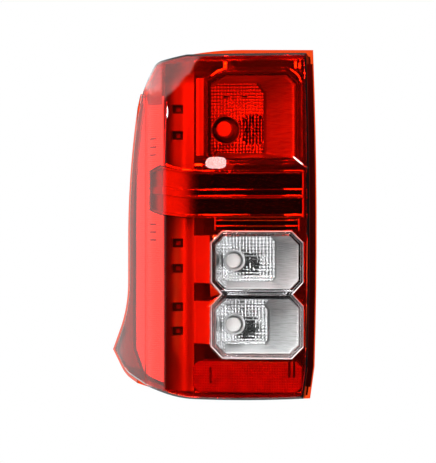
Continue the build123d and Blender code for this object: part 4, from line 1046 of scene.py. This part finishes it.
def foam_gasket():
    """Foam frame: a soft-edged section carried along a rounded rectangle."""
    turn = np.linspace(0.0, np.pi / 2, GASKET_STEPS)
    quarter = np.stack([np.cos(turn), np.sin(turn)], -1)
    spin = np.array([[0.0, -1.0], [1.0, 0.0]])
    out = np.concatenate([quarter @ np.linalg.matrix_power(spin, k).T for k in range(4)])
    path = np.repeat(GASKET_HUBS, GASKET_STEPS, axis=0) + GASKET_CORNER * out
    across = path[None] + GASKET_SECTION[:, 0, None, None] * out[None]
    ring = patch((across[..., 0], BACK_Y + GASKET_SECTION[:, 1, None], across[..., 1]), close=True)
    piece("foam_gasket", *ring, FOAM, "foam", ("mounting_gasket",))


screw_heads()
locating_pins()
vent_caps()
port_seals()
foam_gasket()


# Stage, in metres: pale floor below the lamp, white surroundings, dark ahead of the face
FLOOR_AT, FLOOR_R, FLOOR_RINGS, FLOOR_SIDES = (-0.1, -0.05, -0.78), 1.6, 9, 96
ABOVE, AHEAD, LEFT_EDGE, RIGHT_EDGE = (0.22, 0.34), (0.2, 0.4), (-0.49, -0.43), (0.16, 0.3)
MIDDLE = Vector((-0.1, -0.06, 0.0))


def stage_floor():
    """Round pale floor, a fan of rings."""
    ring = np.linspace(0.0, FLOOR_R, FLOOR_RINGS)[:, None]
    turn = np.arange(FLOOR_SIDES) * 2 * np.pi / FLOOR_SIDES
    x, y = ring * np.cos(turn) + FLOOR_AT[0], ring * np.sin(turn) + FLOOR_AT[1]
    points, faces = patch((x, y, FLOOR_AT[2]), close=True)
    mesh = bpy.data.meshes.new("floor")
    mesh.from_pydata(points.tolist(), [], faces.tolist())
    p = paint("pale_floor")
    mesh.materials.append(p.finish(p.surface({"Base Color": grey(0.86), "Roughness": 0.6})))
    floor = linked("floor", mesh)


def surroundings():
    """White for the camera; for reflections and light, dark ahead of the face and bright at the left."""
    scene.world = bpy.data.worlds.new("studio")
    p = Paint(scene.world)
    where = p.node("ShaderNodeTexCoord")
    side, heading, rise = (p.node("ShaderNodeSeparateXYZ", {0: where}, out=axis) for axis in range(3))
    above, below = p.smooth(rise, *ABOVE), p.smooth(0.0 - rise, *ABOVE)
    level = (1.0 - above) * (1.0 - below)
    front = p.smooth(0.0 - heading, *AHEAD)
    right = p.smooth(side, 0.0, 0.07) * (1.0 - front)
    left = 1.0 - p.smooth(side, *LEFT_EDGE)
    middle = p.smooth(side, *LEFT_EDGE) * (1.0 - p.smooth(side, *RIGHT_EDGE)) * front
    left_glow = p.blend(p.smooth(heading, -0.1, 0.62), grey(2.2), grey(0.7))
    high_glow = p.blend(1.0 - p.smooth(side, -0.85, -0.6), grey(2.4), grey(5.2))
    seen = p.node("ShaderNodeLightPath")
    glow = grey(1.0)
    for share, colour in (
        (below, grey(0.35)), (above * front, grey(0.18)), (left, left_glow),
        (left * p.smooth(rise, 0.12, 0.25), high_glow), (right * level, grey(0.1)),
        (middle * level, grey(0.012)), (seen, grey(1.0)),
    ):
        glow = p.blend(share, glow, colour)
    p.finish(p.node("ShaderNodeBackground", {"Color": glow}), "ShaderNodeOutputWorld")


def face(obj, direction):
    """Turns a lamp or a camera to look along a direction."""
    obj.rotation_mode = "QUATERNION"
    obj.rotation_quaternion = direction.to_track_quat("-Z", "Y")


def softbox(name, place, size, radiance):
    """Area lamp of a given brightness, turned towards the middle."""
    light = bpy.data.lights.new(name, "AREA")
    light.shape = "RECTANGLE"
    light.size, light.size_y = size
    light.energy = radiance * math.pi * size[0] * size[1]
    lamp = linked(name, light)
    lamp.location = place
    face(lamp, MIDDLE - Vector(place))
    lamp.visible_camera = False


stage_floor()
surroundings()
# Two tall lamps high at the left and right give the leaning lips their glints; a weak one lights the face
softbox("left_lamp", (-0.7, -1.85, 1.5), (0.25, 1.8), 40.0)
softbox("front_lamp", (0.485, -1.973, 0.0), (0.25, 0.55), 7.0)
softbox("right_lamp", (-0.045, -1.92, 1.5), (0.15, 1.8), 45.0)

# Camera at the photograph's angle
AZIMUTH, DISTANCE, WIDE, SENSOR = math.radians(6.0), 2.4, 0.5232, 36.0
LOOK_AT = Vector((-0.1062, -0.11, -0.0074))
back = Vector((math.sin(AZIMUTH), -math.cos(AZIMUTH), 0.0))
camera = bpy.data.cameras.new("camera")
camera.sensor_fit = "HORIZONTAL"
camera.sensor_width = SENSOR
camera.lens = SENSOR * DISTANCE / WIDE
eye = linked("camera", camera)
eye.location = LOOK_AT + back * DISTANCE
face(eye, -back)
scene.camera = eye

bpy.context.view_layer.update()
